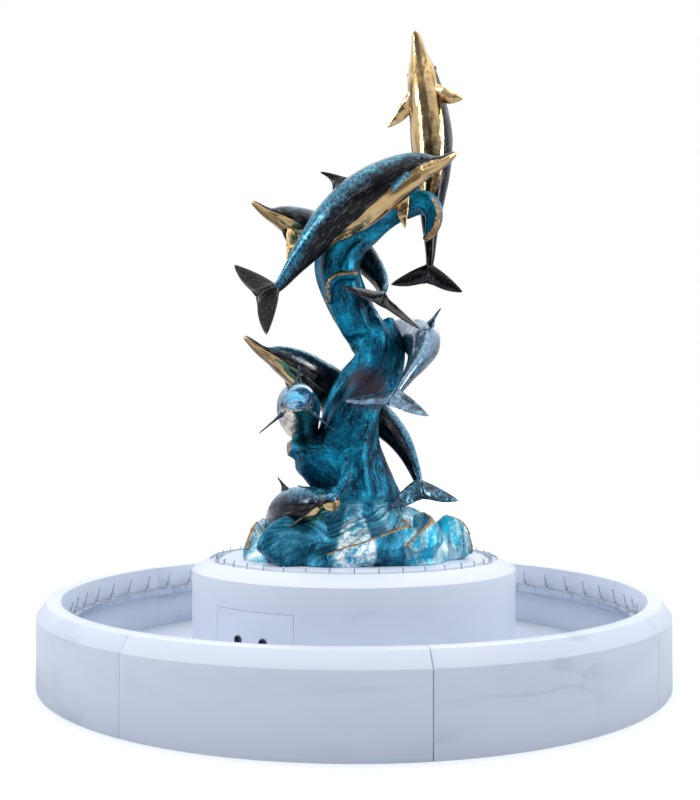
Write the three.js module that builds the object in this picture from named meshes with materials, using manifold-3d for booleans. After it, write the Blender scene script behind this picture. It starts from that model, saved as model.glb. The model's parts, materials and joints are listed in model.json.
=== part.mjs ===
// Bronze dolphin fountain: seven dolphins round a twisting wave, on a marble pedestal in a round basin.
// Millimetres, +Z up. The origin is on the ground in the middle of the basin, and -Y is the front.
import * as THREE from "three";
import Module from "manifold-3d";

const wasm = await Module();
wasm.setup();

// Basin wall: marble panels in a ring, with a bevelled rim
const BASIN_RADIUS = 2400;
const BASIN_HEIGHT = 595;
const BASIN_WALL = 170;
const RIM_BEVEL_WIDTH = 70;
const RIM_BEVEL_DROP = 95;
const PANEL_COUNT = 8;
const PANEL_JOINT = 6;
const FRONT_SEAM_DEG = 10.1;
const PANEL_STEPS = 6;
const FLOOR_THICKNESS = 50;

// Pedestal: a marble drum with a bevelled edge and a shallow gutter round its top plate
const PEDESTAL_RADIUS = 1270;
const PEDESTAL_HEIGHT = 850;
const PEDESTAL_BEVEL_WIDTH = 125;
const PEDESTAL_BEVEL_DROP = 75;
const GUTTER_LIP = 12;
const GUTTER_WIDTH = 92;
const GUTTER_DEPTH = 22;
const PEDESTAL_STEPS = 40;

// Access panel in the pedestal's face, with two water outlets through it
const HATCH_LEFT_DEG = -49.8;
const HATCH_RIGHT_DEG = -18.6;
const HATCH_BOTTOM = 120;
const HATCH_TOP = 585;
const HATCH_THICKNESS = 30;
const HATCH_JOINT = 3;
const HATCH_STEPS = 6;
const OUTLET_RADIUS = 30;
const OUTLET_BORE = 23;
const OUTLET_PROUD = 12;
const OUTLET_Z = 380;
const OUTLET_DEGS = [-39.1, -29.2];
const OUTLET_CLEARANCE = 1;
const OUTLET_SIDES = 8;

// Jets: short steel tubes that lean inwards on a pipe in the gutter and on a channel inside the wall
const GUTTER_JETS = 40;
const GUTTER_PIPE = 14;
const GUTTER_JET_HEIGHT = 44;
const GUTTER_JET_WIDTH = 11;
const BASIN_JETS = 53;
const BASIN_JET_TURN_DEG = 1.26;
const BASIN_JET_HEIGHT = 141;
const BASIN_JET_FOOT = 34;
const BASIN_JET_TIP = 13;
const CHANNEL_WIDTH = 78;
const CHANNEL_HEIGHT = 59;
const CHANNEL_TOP = 410;
const JET_LEAN_DEG = 14;
const JET_ROOT = 2;

// Gaps: between pieces that rest on or lie against each other, and between the bronze castings
const SEAT = 0.3;
const BRONZE_JOINT = 1;
const MICROMETRES = 1000;

// Bronze: every point and radius below it is a share of this height, from the pedestal's top
const BRONZE_HEIGHT = 4230;
const SPREAD = 0.88;

const BRONZE_COLOURS = { wave: 0x0d6f92, dolphin: 0x1c3d55 };
const STONE_COLOUR = 0xdfe3ee;
const STEEL_COLOUR = 0x8b93a5;
const OUTLET_COLOUR = 0x2c3548;

const seamAngle = (index) => FRONT_SEAM_DEG + (index * 360) / PANEL_COUNT;
const ringSteps = PANEL_COUNT * PANEL_STEPS;
const wallInside = BASIN_RADIUS - BASIN_WALL;
const footZ = PEDESTAL_HEIGHT + SEAT;

// A point at a bearing from the front, positive to the viewer's right
function around(radius, degrees, z) {
  const angle = THREE.MathUtils.degToRad(degrees);
  return new THREE.Vector3(radius * Math.sin(angle), -radius * Math.cos(angle), z);
}

// A bronze point given as shares of the bronze's height
function bronzePoint([x, y, z]) {
  return new THREE.Vector3(x * BRONZE_HEIGHT, y * BRONZE_HEIGHT, footZ + z * BRONZE_HEIGHT);
}

function solidFrom(points, faces) {
  const mesh = new wasm.Mesh({
    numProp: 3,
    vertProperties: new Float32Array(points.flatMap((point) => point.toArray())),
    triVerts: new Uint32Array(faces.flat()),
  });
  return new wasm.Manifold(mesh);
}

// A skin through rings of equally many points. Open lofts get flat ends, and a loop meets itself.
function loft(rings, loop = false) {
  const sides = rings[0].length;
  const points = rings.flat();
  const faces = [];
  const spans = loop ? rings.length : rings.length - 1;
  for (let i = 0; i < spans; i++) {
    for (let j = 0; j < sides; j++) {
      const next = (i + 1) % rings.length;
      const [a, b] = [i * sides + j, i * sides + ((j + 1) % sides)];
      const [c, d] = [next * sides + j, next * sides + ((j + 1) % sides)];
      faces.push([a, b, c], [b, d, c]);
    }
  }
  if (!loop) {
    const last = (rings.length - 1) * sides;
    for (let j = 1; j + 1 < sides; j++) {
      faces.push([0, j + 1, j], [last, last + j, last + j + 1]);
    }
  }
  const solid = solidFrom(points, faces);
  if (solid.volume() > 0) return solid;
  return solidFrom(points, faces.map(([a, b, c]) => [a, c, b]));
}

// A profile of [radius, z] corners carried round the axis, between two bearings or all the way
function sweepRound(profile, fromDeg, toDeg, steps) {
  const full = toDeg - fromDeg >= 360;
  const rings = [];
  for (let i = 0; i < (full ? steps : steps + 1); i++) {
    const bearing = fromDeg + ((toDeg - fromDeg) * i) / steps;
    rings.push(profile.map(([radius, z]) => around(radius, bearing, z)));
  }
  return loft(rings, full);
}

// A turned solid whose profile starts and ends on the axis
function turned(profile, steps, turnDeg = 0) {
  const corners = profile.map(([radius, z]) => new THREE.Vector2(radius, z));
  const geometry = new THREE.LatheGeometry(corners, steps);
  geometry.rotateX(Math.PI / 2);
  geometry.rotateZ(THREE.MathUtils.degToRad(turnDeg - 90));
  return solidOfGeometry(geometry);
}

// Welds a closed geometry's corners that lie within a micrometre, and turns its faces outwards
function solidOfGeometry(geometry) {
  const position = geometry.getAttribute("position");
  const index = geometry.index ? [...geometry.index.array] : [...Array(position.count).keys()];
  const welded = new Map();
  const points = [];
  const corner = index.map((i) => {
    const point = new THREE.Vector3().fromBufferAttribute(position, i);
    const key = point.toArray().map((value) => Math.round(value * MICROMETRES)).join();
    if (!welded.has(key)) welded.set(key, points.push(point) - 1);
    return welded.get(key);
  });
  const faces = [];
  for (let i = 0; i < corner.length; i += 3) {
    const [a, b, c] = corner.slice(i, i + 3);
    if (a !== b && b !== c && c !== a) faces.push([a, b, c]);
  }
  const solid = solidFrom(points, faces);
  if (solid.volume() > 0) return solid;
  return solidFrom(points, faces.map(([a, b, c]) => [a, c, b]));
}

function geometryOf(solid) {
  const mesh = solid.getMesh();
  const geometry = new THREE.BufferGeometry();
  geometry.setAttribute("position", new THREE.BufferAttribute(mesh.vertProperties, 3));
  geometry.setIndex(new THREE.BufferAttribute(mesh.triVerts, 1));
  return geometry;
}

const fountain = new THREE.Group();

function place(name, solid, color, roughness, metalness) {
  const material = new THREE.MeshStandardMaterial({ color, roughness, metalness });
  const mesh = new THREE.Mesh(geometryOf(solid), material);
  mesh.name = name;
  fountain.add(mesh);
}

const placeStone = (name, solid) => place(name, solid, STONE_COLOUR, 0.3, 0);
const placeSteel = (name, solid) => place(name, solid, STEEL_COLOUR, 0.35, 1);
const placeBronze = (name, solid, colour) => place(name, solid, colour, 0.3, 0.9);

// The value of one column at a share, on a smooth curve through rows that start with their share
function readTable(table, share, column) {
  let row = 0;
  while (row < table.length - 2 && share > table[row + 1][0]) row++;
  const slope = (i) => {
    const [before, after] = [table[Math.max(i - 1, 0)], table[Math.min(i + 1, table.length - 1)]];
    return (after[column] - before[column]) / (after[0] - before[0]);
  };
  const [from, to] = [table[row], table[row + 1]];
  const width = to[0] - from[0];
  const t = (share - from[0]) / width;
  return (
    (2 * t ** 3 - 3 * t ** 2 + 1) * from[column] +
    (t ** 3 - 2 * t ** 2 + t) * width * slope(row) +
    (3 * t ** 2 - 2 * t ** 3) * to[column] +
    (t ** 3 - t ** 2) * width * slope(row + 1)
  );
}

// Marble

function basinPanel(index) {
  const half = THREE.MathUtils.radToDeg(PANEL_JOINT / 2 / BASIN_RADIUS);
  const rim = BASIN_RADIUS - RIM_BEVEL_WIDTH;
  const profile = [
    [wallInside, 0],
    [BASIN_RADIUS, 0],
    [BASIN_RADIUS, BASIN_HEIGHT - RIM_BEVEL_DROP],
    [rim, BASIN_HEIGHT],
    [wallInside, BASIN_HEIGHT],
  ];
  return sweepRound(profile, seamAngle(index) + half, seamAngle(index + 1) - half, PANEL_STEPS);
}

function basinFloor() {
  const edge = wallInside - SEAT;
  const profile = [[0, 0], [edge, 0], [edge, FLOOR_THICKNESS], [0, FLOOR_THICKNESS]];
  return turned(profile, ringSteps, FRONT_SEAM_DEG);
}

function pedestalDrum() {
  const rim = PEDESTAL_RADIUS - PEDESTAL_BEVEL_WIDTH;
  const gutter = rim - GUTTER_LIP;
  const bottom = FLOOR_THICKNESS + SEAT;
  return turned(
    [
      [0, bottom],
      [PEDESTAL_RADIUS, bottom],
      [PEDESTAL_RADIUS, PEDESTAL_HEIGHT - PEDESTAL_BEVEL_DROP],
      [rim, PEDESTAL_HEIGHT],
      [gutter, PEDESTAL_HEIGHT],
      [gutter, PEDESTAL_HEIGHT - GUTTER_DEPTH],
      [gutter - GUTTER_WIDTH, PEDESTAL_HEIGHT - GUTTER_DEPTH],
      [gutter - GUTTER_WIDTH, PEDESTAL_HEIGHT],
      [0, PEDESTAL_HEIGHT],
    ],
    PEDESTAL_STEPS,
  );
}

// The hatch's block, smaller than its recess by a joint all round
function hatchBlock(joint, back, front) {
  const jointDeg = THREE.MathUtils.radToDeg(joint / PEDESTAL_RADIUS);
  const profile = [
    [back, HATCH_BOTTOM + joint],
    [front, HATCH_BOTTOM + joint],
    [front, HATCH_TOP - joint],
    [back, HATCH_TOP - joint],
  ];
  return sweepRound(profile, HATCH_LEFT_DEG + jointDeg, HATCH_RIGHT_DEG - jointDeg, HATCH_STEPS);
}

// A round bar that points straight out of the pedestal's face
function radialBar(degrees, radius, fromRadius, toRadius) {
  const end = (distance) => {
    const centre = around(distance, degrees, OUTLET_Z);
    const side = around(1, degrees + 90, 0);
    return Array.from({ length: OUTLET_SIDES }, (_, i) => {
      const angle = (2 * Math.PI * i) / OUTLET_SIDES;
      const up = new THREE.Vector3(0, 0, radius * Math.sin(angle));
      return centre.clone().addScaledVector(side, radius * Math.cos(angle)).add(up);
    });
  };
  return loft([end(fromRadius), end(toRadius)]);
}

function outlet(degrees) {
  const back = PEDESTAL_RADIUS - HATCH_THICKNESS + SEAT;
  const front = PEDESTAL_RADIUS + OUTLET_PROUD;
  const body = radialBar(degrees, OUTLET_RADIUS, back, front);
  const wall = OUTLET_RADIUS - OUTLET_BORE;
  return body.subtract(radialBar(degrees, OUTLET_BORE, back + wall, front + wall));
}

// Jets

// One square tube of a ring of jets, narrowing and leaning towards the middle as it rises
function jet(radius, bearing, z, height, footWidth, tipWidth) {
  const lean = height * Math.tan(THREE.MathUtils.degToRad(JET_LEAN_DEG));
  const section = (distance, level, width) =>
    [[-1, -1], [1, -1], [1, 1], [-1, 1]].map(([across, out]) =>
      around(distance + (out * width) / 2, bearing, level).addScaledVector(
        around(1, bearing + 90, 0),
        (across * width) / 2,
      ),
    );
  return loft([section(radius, z, footWidth), section(radius - lean, z + height, tipWidth)]);
}

function jetRing(base, count, turnDeg, makeJet) {
  let ring = base;
  for (let i = 0; i < count; i++) ring = ring.add(makeJet((i * 360) / count + turnDeg));
  return ring;
}

function gutterJets() {
  const outer = PEDESTAL_RADIUS - PEDESTAL_BEVEL_WIDTH - GUTTER_LIP;
  const radius = outer - GUTTER_WIDTH / 2;
  const half = GUTTER_PIPE / 2;
  const bottom = PEDESTAL_HEIGHT - GUTTER_DEPTH + SEAT;
  const profile = [
    [radius - half, bottom],
    [radius + half, bottom],
    [radius + half, bottom + GUTTER_PIPE],
    [radius - half, bottom + GUTTER_PIPE],
  ];
  const pipe = sweepRound(profile, 0, 360, GUTTER_JETS);
  const foot = bottom + GUTTER_PIPE - JET_ROOT;
  return jetRing(pipe, GUTTER_JETS, 0, (bearing) =>
    jet(radius, bearing, foot, GUTTER_JET_HEIGHT, GUTTER_JET_WIDTH, GUTTER_JET_WIDTH),
  );
}

function basinJets() {
  const outer = wallInside - SEAT;
  const inner = outer - CHANNEL_WIDTH;
  const profile = [
    [inner, CHANNEL_TOP - CHANNEL_HEIGHT],
    [outer, CHANNEL_TOP - CHANNEL_HEIGHT],
    [outer, CHANNEL_TOP],
    [inner, CHANNEL_TOP],
  ];
  const channel = sweepRound(profile, FRONT_SEAM_DEG, FRONT_SEAM_DEG + 360, ringSteps);
  return jetRing(channel, BASIN_JETS, 180 - BASIN_JET_TURN_DEG, (bearing) =>
    jet(
      (inner + outer) / 2,
      bearing,
      CHANNEL_TOP - JET_ROOT,
      BASIN_JET_HEIGHT,
      BASIN_JET_FOOT,
      BASIN_JET_TIP,
    ),
  );
}

// Dolphins

// The body from snout to fluke notch: share of length, then back, belly and half width as shares of it
const [BACK, BELLY, HALF_WIDTH] = [1, 2, 3];
const BODY = [
  [0.0, 0.007, 0.009, 0.011],
  [0.03, 0.014, 0.015, 0.02],
  [0.09, 0.022, 0.028, 0.034],
  [0.13, 0.047, 0.038, 0.048],
  [0.18, 0.066, 0.056, 0.063],
  [0.27, 0.084, 0.08, 0.077],
  [0.4, 0.095, 0.1, 0.087],
  [0.52, 0.088, 0.094, 0.08],
  [0.66, 0.064, 0.064, 0.056],
  [0.8, 0.042, 0.038, 0.031],
  [0.92, 0.025, 0.021, 0.016],
  [1.0, 0.012, 0.01, 0.01],
];
const BODY_STATIONS = [0, 0.03, 0.09, 0.13, 0.18, 0.26, 0.36, 0.47, 0.59, 0.7, 0.81, 0.92, 1];
const BODY_SIDES = 10;
// A blunt head rounds off over this share of its own radius, down to the tip's share of it
const BLUNT_EASE = 0.9;
const BLUNT_TIP = 0.17;

// Fins, as shares of the dolphin's length: how far they reach, chord at the root, how far the tip is
// swept back, how hollow the trailing edge is, and half thickness at the root
const DORSAL = { at: 0.42, sunk: 0.03, reach: 0.12, chord: 0.1, sweep: 0.085, hollow: 0.022, thick: 0.012 };
const FLIPPER = {
  at: 0.225, sunk: 0.02, reach: 0.17, chord: 0.042, sweep: 0.05, hollow: -0.024, thick: 0.009,
};
const FLUKE = { at: 0.93, sunk: 0.0, reach: 0.155, chord: 0.076, sweep: 0.1, hollow: -0.012, thick: 0.011 };
const FIN_TIP = 0.1;
const FIN_TIP_THICKNESS = 0.25;
const FIN_CURVE = 1.4;
const FIN_STATIONS = [0, 0.5, 1];
const FIN_SIDES = 4;

// Where a flipper leaves the chest, as shares of its half width and of its belly's depth
const FLIPPER_ROOT = [0.8, 0.5];

// Poses, as shares of the bronze's height. The spine runs from the snout to the fluke notch, and back is
// the way the dolphin's back faces, at even steps along it. Flippers point [out, up, to the rear].
// A pose may move its dorsal fin or flippers along the body, move the flippers' roots round the chest,
// stretch its flukes, and hide its beak in a blunt head, whose least radius is a share of length.
const DOLPHINS = {
  dolphin_summit: {
    spine: [
      [0.116, 0.014, 0.996], [0.133, 0.026, 0.903], [0.149, 0.037, 0.81], [0.151, 0.036, 0.72],
      [0.147, 0.028, 0.63], [0.146, 0.021, 0.565], [0.14, 0.02, 0.52],
    ],
    back: [[0.3, 0.95, 0], [0.35, 0.93, 0], [0.3, 0.95, 0], [0.15, 0.95, 0.2]],
    flippers: [[0.8, -0.5, 0.3], [0.86, -0.05, 0.44]],
    girth: 0.98,
    fluke: 0.92,
  },
  dolphin_crossing: {
    spine: [
      [0.184, -0.078, 0.733], [0.155, -0.08, 0.716], [0.108, -0.082, 0.7], [0.055, -0.084, 0.674],
      [0.0, -0.08, 0.639], [-0.055, -0.074, 0.594], [-0.1, -0.068, 0.54], [-0.138, -0.066, 0.493],
      [-0.165, -0.068, 0.481],
    ],
    back: [[-0.58, 0.25, 0.78], [-0.58, 0.2, 0.78], [-0.6, -0.1, 0.7], [-0.3, -0.95, 0.3]],
    flippers: [[0.35, -0.9, 0.2], [0.6, -0.65, 0.45]],
    girth: 1.1,
    fluke: 1.2,
  },
  dolphin_high_left: {
    spine: [
      [-0.189, -0.03, 0.659], [-0.162, -0.018, 0.643], [-0.13, -0.004, 0.633], [-0.09, 0.02, 0.624],
      [-0.04, 0.062, 0.612], [0.005, 0.076, 0.591], [0.04, 0.055, 0.548], [0.054, 0.015, 0.508],
      [0.05, -0.034, 0.474],
    ],
    back: [[0.4, 0.3, 0.86], [0.35, 0.4, 0.8], [0.75, 0.3, 0.6], [0.5, -0.3, 0.85]],
    flippers: [[0.15, -0.97, -0.25], [0.6, -0.6, 0.5]],
    flipperAt: 0.18,
    flipperRoot: [0.3, 1.15],
    girth: 1.0,
    fluke: 1.3,
  },
  dolphin_diving_right: {
    spine: [
      [0.045, 0.151, 0.45], [0.075, 0.128, 0.446], [0.105, 0.085, 0.434], [0.125, 0.035, 0.416],
      [0.129, -0.02, 0.393], [0.118, -0.068, 0.363], [0.097, -0.106, 0.33], [0.077, -0.132, 0.3],
      [0.065, -0.15, 0.284],
    ],
    back: [[0.4, 0.4, 0.8], [0.3, 0.1, 1], [0.5, -0.3, 0.8], [-0.2, -0.7, 0.7]],
    flippers: [[0.6, -0.6, 0.5], [0.6, -0.6, 0.5]],
    girth: 1.0,
    fluke: 1.3,
  },
  dolphin_low_left: {
    spine: [
      [-0.2, -0.061, 0.406], [-0.172, -0.05, 0.384], [-0.14, -0.03, 0.368], [-0.1, 0.005, 0.35],
      [-0.05, 0.05, 0.32], [0.0, 0.073, 0.291], [0.05, 0.066, 0.26], [0.09, 0.04, 0.215],
      [0.115, 0.01, 0.16], [0.128, -0.01, 0.11],
    ],
    back: [[0.45, 0.25, 0.86], [0.4, 0.3, 0.85], [0.8, 0.1, 0.5], [0.35, -0.8, 0.25]],
    flippers: [[0.5, -0.45, 0.9], [0.6, -0.6, 0.6]],
    girth: 0.9,
    fluke: 0.92,
  },
  dolphin_front: {
    spine: [
      [-0.099, -0.236, 0.263], [-0.097, -0.195, 0.27], [-0.097, -0.147, 0.277], [-0.099, -0.095, 0.276],
      [-0.099, -0.043, 0.26], [-0.09, 0.01, 0.232], [-0.067, 0.062, 0.203], [-0.031, 0.112, 0.184],
    ],
    back: [[0, 0.1, 1], [0, 0.1, 1], [0, 0.2, 1], [0.2, 0.3, 1]],
    flippers: [[0.9, -0.75, 0.1], [0.9, -0.75, 0.1]],
    dorsalAt: 0.33,
    girth: 1.16,
  },
  dolphin_surfacing: {
    spine: [
      [-0.034, -0.205, 0.112], [-0.053, -0.17, 0.108], [-0.083, -0.138, 0.101], [-0.115, -0.095, 0.09],
      [-0.142, -0.045, 0.072], [-0.155, 0.0, 0.05],
    ],
    back: [[-0.1, -0.2, 1], [-0.1, -0.2, 1], [-0.2, -0.1, 1], [-0.3, 0, 1]],
    flippers: [[0.7, -0.5, 0.6], [0.7, -0.5, 0.6]],
    girth: 1.4,
    shown: 0.88,
    blunt: 0.042,
  },
};

// The spine as a curve, with the tailward, upward and sideward directions at a share of the body
function dolphinFrames(pose) {
  const curve = new THREE.CatmullRomCurve3(pose.spine.map(bronzePoint), false, "catmullrom", 0.5);
  const shown = pose.shown ?? 1;
  const length = curve.getLength() / shown;
  const hints = pose.back.map((hint) => new THREE.Vector3(...hint));
  const frameAt = (share) => {
    const along = THREE.MathUtils.clamp(share / shown, 0, 1);
    const tail = curve.getTangentAt(along);
    const step = along * (hints.length - 1);
    const from = Math.min(Math.floor(step), hints.length - 2);
    const up = hints[from].clone().lerp(hints[from + 1], step - from);
    up.addScaledVector(tail, -up.dot(tail)).normalize();
    const side = new THREE.Vector3().crossVectors(tail, up);
    return { point: curve.getPointAt(along), tail, up, side };
  };
  return { length, frameAt, shown };
}

// A tapering blade: it reaches outwards from its root, its chord runs rearwards, and it is a lens across
function fin(root, reach, rearward, shape, length, grow) {
  const rear = rearward.clone().addScaledVector(reach, -rearward.dot(reach)).normalize();
  const across = new THREE.Vector3().crossVectors(reach, rear);
  const rings = FIN_STATIONS.map((share) => {
    const lead = shape.sweep * share ** FIN_CURVE;
    const straight = THREE.MathUtils.lerp(shape.chord, shape.sweep + FIN_TIP * shape.chord, share);
    const trail = straight - shape.hollow * Math.sin(Math.PI * share);
    const taper = THREE.MathUtils.lerp(1, FIN_TIP_THICKNESS, share);
    const half = shape.thick * taper * length + grow;
    return Array.from({ length: FIN_SIDES }, (_, i) => {
      const angle = (2 * Math.PI * i) / FIN_SIDES;
      const middle = ((lead + trail) / 2) * length;
      const wide = ((trail - lead) / 2) * length + grow;
      return root
        .clone()
        .addScaledVector(reach, (shape.reach * share - shape.sunk) * length + grow * share)
        .addScaledVector(rear, middle - wide * Math.cos(angle))
        .addScaledVector(across, half * Math.sin(angle));
    });
  });
  return loft(rings);
}

// The least radius of a blunt head, which rounds off as a circle does towards the snout
function bluntRadius(blunt, share) {
  if (blunt === 0) return 0;
  const short = Math.max(1 - share / (BLUNT_EASE * blunt), 0);
  return blunt * Math.sqrt(1 - (1 - BLUNT_TIP ** 2) * short ** 2);
}

function dolphin(pose, grow = 0) {
  const { length, frameAt, shown } = dolphinFrames(pose);
  const stations = BODY_STATIONS.filter((share) => share <= shown);
  const rings = stations.map((share, station) => {
    const { point, tail, up, side } = frameAt(share);
    if (station === 0) point.addScaledVector(tail, -grow);
    if (station === stations.length - 1) point.addScaledVector(tail, grow);
    const least = bluntRadius(pose.blunt ?? 0, share);
    const [back, belly, half] = [BACK, BELLY, HALF_WIDTH].map(
      (column) => Math.max(readTable(BODY, share, column), least) * length * pose.girth + grow,
    );
    return Array.from({ length: BODY_SIDES }, (_, i) => {
      const angle = (2 * Math.PI * i) / BODY_SIDES;
      const height = Math.sin(angle) * (Math.sin(angle) > 0 ? back : belly);
      return point
        .clone()
        .addScaledVector(side, Math.cos(angle) * half)
        .addScaledVector(up, height);
    });
  });
  let body = loft(rings);
  const dorsalAt = pose.dorsalAt ?? DORSAL.at;
  const dorsal = frameAt(dorsalAt);
  const crown = readTable(BODY, dorsalAt, BACK) * length * pose.girth;
  const dorsalRoot = dorsal.point.clone().addScaledVector(dorsal.up, crown);
  body = body.add(fin(dorsalRoot, dorsal.up, dorsal.tail, DORSAL, length, grow));
  const chestAt = pose.flipperAt ?? FLIPPER.at;
  const chest = frameAt(chestAt);
  const width = readTable(BODY, chestAt, HALF_WIDTH) * length * pose.girth;
  const depth = readTable(BODY, chestAt, BELLY) * length * pose.girth;
  const [rootOut, rootDown] = pose.flipperRoot ?? FLIPPER_ROOT;
  pose.flippers.forEach(([out, up, rear], i) => {
    const sideways = i === 0 ? 1 : -1;
    const reach = chest.side
      .clone()
      .multiplyScalar(out * sideways)
      .addScaledVector(chest.up, up)
      .addScaledVector(chest.tail, rear)
      .normalize();
    const root = chest.point
      .clone()
      .addScaledVector(chest.side, sideways * width * rootOut)
      .addScaledVector(chest.up, -depth * rootDown);
    body = body.add(fin(root, reach, chest.tail, FLIPPER, length, grow));
  });
  if (shown < 1) return body;
  const stock = frameAt(FLUKE.at);
  const end = frameAt(1);
  for (const sideways of [1, -1]) {
    const reach = end.side.clone().multiplyScalar(sideways);
    body = body.add(fin(stock.point, reach, end.tail, FLUKE, length * (pose.fluke ?? 1), grow));
  }
  return body;
}

// Wave

// Strands of water: [x, y, z, half width] rows as shares of the bronze's height, with the depth front to
// back as a share of the width, and how many flutes run along them
const STRANDS = {
  trunk: {
    path: [
      [-0.007, 0, 0.0, 0.1], [-0.005, 0, 0.07, 0.09], [-0.003, 0, 0.13, 0.07], [-0.012, 0, 0.19, 0.06],
      [-0.009, 0, 0.237, 0.054], [0.001, 0, 0.283, 0.05], [0.018, 0, 0.323, 0.045],
      [0.036, 0, 0.365, 0.036], [0.038, -0.002, 0.41, 0.032], [0.034, -0.006, 0.447, 0.016],
    ],
    depth: 1, flutes: 5, twist: 2.2,
  },
  arch: {
    path: [
      [0.055, 0.012, 0.34, 0.026], [0.036, 0.012, 0.395, 0.034], [0.008, 0.006, 0.44, 0.038],
      [-0.018, 0, 0.495, 0.039], [-0.03, -0.002, 0.545, 0.041], [-0.015, 0, 0.59, 0.043],
      [0.018, 0.002, 0.62, 0.039], [0.062, 0.002, 0.648, 0.03], [0.105, 0, 0.664, 0.026],
      [0.134, -0.006, 0.663, 0.022], [0.149, -0.012, 0.641, 0.017], [0.145, -0.014, 0.61, 0.012],
      [0.131, -0.016, 0.59, 0.006],
    ],
    depth: 1.2, flutes: 5, twist: 3,
  },
  behind: {
    path: [
      [0.052, 0.014, 0.3, 0.02], [0.071, 0.019, 0.345, 0.023], [0.074, 0.02, 0.4, 0.021],
      [0.064, 0.017, 0.45, 0.01],
    ],
    depth: 1.2, flutes: 2, twist: 1,
  },
  skirt: {
    path: [
      [0.019, 0.03, 0.23, 0.024], [0.022, 0.034, 0.184, 0.032], [0.04, 0.034, 0.14, 0.032],
      [0.07, 0.03, 0.07, 0.036],
    ],
    depth: 1.4, flutes: 2, twist: 0.5,
  },
  shoulder: {
    path: [
      [0.0, 0, 0.13, 0.058], [-0.04, -0.01, 0.163, 0.052], [-0.075, -0.02, 0.186, 0.042],
      [-0.1, -0.027, 0.2, 0.028], [-0.122, -0.03, 0.2, 0.011],
    ],
    depth: 1, flutes: 2, twist: 1,
  },
  lip: {
    path: [
      [-0.047, -0.036, 0.47, 0.006], [-0.045, -0.045, 0.498, 0.007], [-0.03, -0.051, 0.514, 0.007],
      [0.006, -0.046, 0.519, 0.006],
    ],
    depth: 1, flutes: 0, twist: 0,
  },
};

// Breaking waves on the mound, from the foot of each to its crest
const CRESTS = [
  [[-0.045, -0.18, 0.012, 0.008], [0.03, -0.171, 0.028, 0.016], [0.088, -0.138, 0.045, 0.018],
    [0.08, -0.112, 0.068, 0.01]],
  [[0.09, -0.165, 0.022, 0.012], [0.128, -0.128, 0.048, 0.022], [0.12, -0.09, 0.083, 0.01]],
  [[-0.14, -0.145, 0.005, 0.03], [-0.12, -0.14, 0.03, 0.036], [-0.085, -0.13, 0.045, 0.034],
    [-0.05, -0.12, 0.045, 0.02]],
  [[0.19, -0.05, 0.0, 0.022], [0.175, -0.045, 0.04, 0.028], [0.155, -0.03, 0.062, 0.018]],
  [[-0.18, -0.06, 0.0, 0.022], [-0.17, -0.03, 0.03, 0.028], [-0.155, 0.02, 0.048, 0.02]],
  [[0.15, 0.1, 0.0, 0.028], [0.11, 0.12, 0.04, 0.034], [0.065, 0.11, 0.07, 0.02]],
  [[0.02, 0.165, 0.0, 0.028], [-0.035, 0.14, 0.04, 0.034], [-0.07, 0.1, 0.07, 0.02]],
  [[-0.15, 0.09, 0.0, 0.028], [-0.12, 0.07, 0.06, 0.034], [-0.09, 0.05, 0.12, 0.016]],
];

// The mound: [height, radius] rows, lobed round its edge, and turned a little as it rises
const MOUND = [
  [0, 0.205], [0.02, 0.198], [0.04, 0.178], [0.058, 0.145], [0.075, 0.11], [0.095, 0.08],
];
const MOUND_SIDES = 28;
const MOUND_LOBES = 7;
const MOUND_LOBE_DEPTH = 0.05;
const MOUND_TURN = 9;
const FLUTE_DEPTH = 0.09;
const FLUTE_CORNERS = 3;
const SLIM_SIDES = 5;

function strand({ path, depth, flutes, twist }, sides) {
  const curve = new THREE.CatmullRomCurve3(path.map(bronzePoint), false, "catmullrom", 0.5);
  const rings = path.map(([, , , halfWidth], row) => {
    const share = row / (path.length - 1);
    const tangent = curve.getTangent(share);
    const away = new THREE.Vector3(0, 1, 0);
    away.addScaledVector(tangent, -away.dot(tangent)).normalize();
    const side = new THREE.Vector3().crossVectors(tangent, away);
    const centre = curve.getPoint(share);
    return Array.from({ length: sides }, (_, k) => {
      const angle = (2 * Math.PI * k) / sides;
      const ridge = flutes ? FLUTE_DEPTH * Math.cos(flutes * (angle + twist * share)) : 0;
      const radius = halfWidth * BRONZE_HEIGHT * (1 + ridge);
      return centre
        .clone()
        .addScaledVector(side, radius * Math.cos(angle))
        .addScaledVector(away, radius * depth * Math.sin(angle));
    });
  });
  return loft(rings);
}

function mound() {
  return loft(
    MOUND.map(([height, radius]) =>
      Array.from({ length: MOUND_SIDES }, (_, k) => {
        const angle = (2 * Math.PI * k) / MOUND_SIDES;
        const lobes = Math.cos(MOUND_LOBES * angle + MOUND_TURN * height * MOUND_LOBES);
        const reach = radius * (1 + MOUND_LOBE_DEPTH * lobes);
        return bronzePoint([reach * Math.cos(angle), reach * SPREAD * Math.sin(angle), height]);
      }),
    ),
  );
}

function wave() {
  let water = mound();
  for (const shape of Object.values(STRANDS)) {
    water = water.add(strand(shape, Math.max(shape.flutes * FLUTE_CORNERS, SLIM_SIDES)));
  }
  for (const path of CRESTS) {
    water = water.add(strand({ path, depth: 1, flutes: 0, twist: 0 }, SLIM_SIDES));
  }
  const reach = BRONZE_HEIGHT;
  const below = new THREE.BoxGeometry(reach, reach, reach).translate(0, 0, footZ - reach / 2);
  return water.subtract(solidOfGeometry(below));
}

// Assembly

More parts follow.
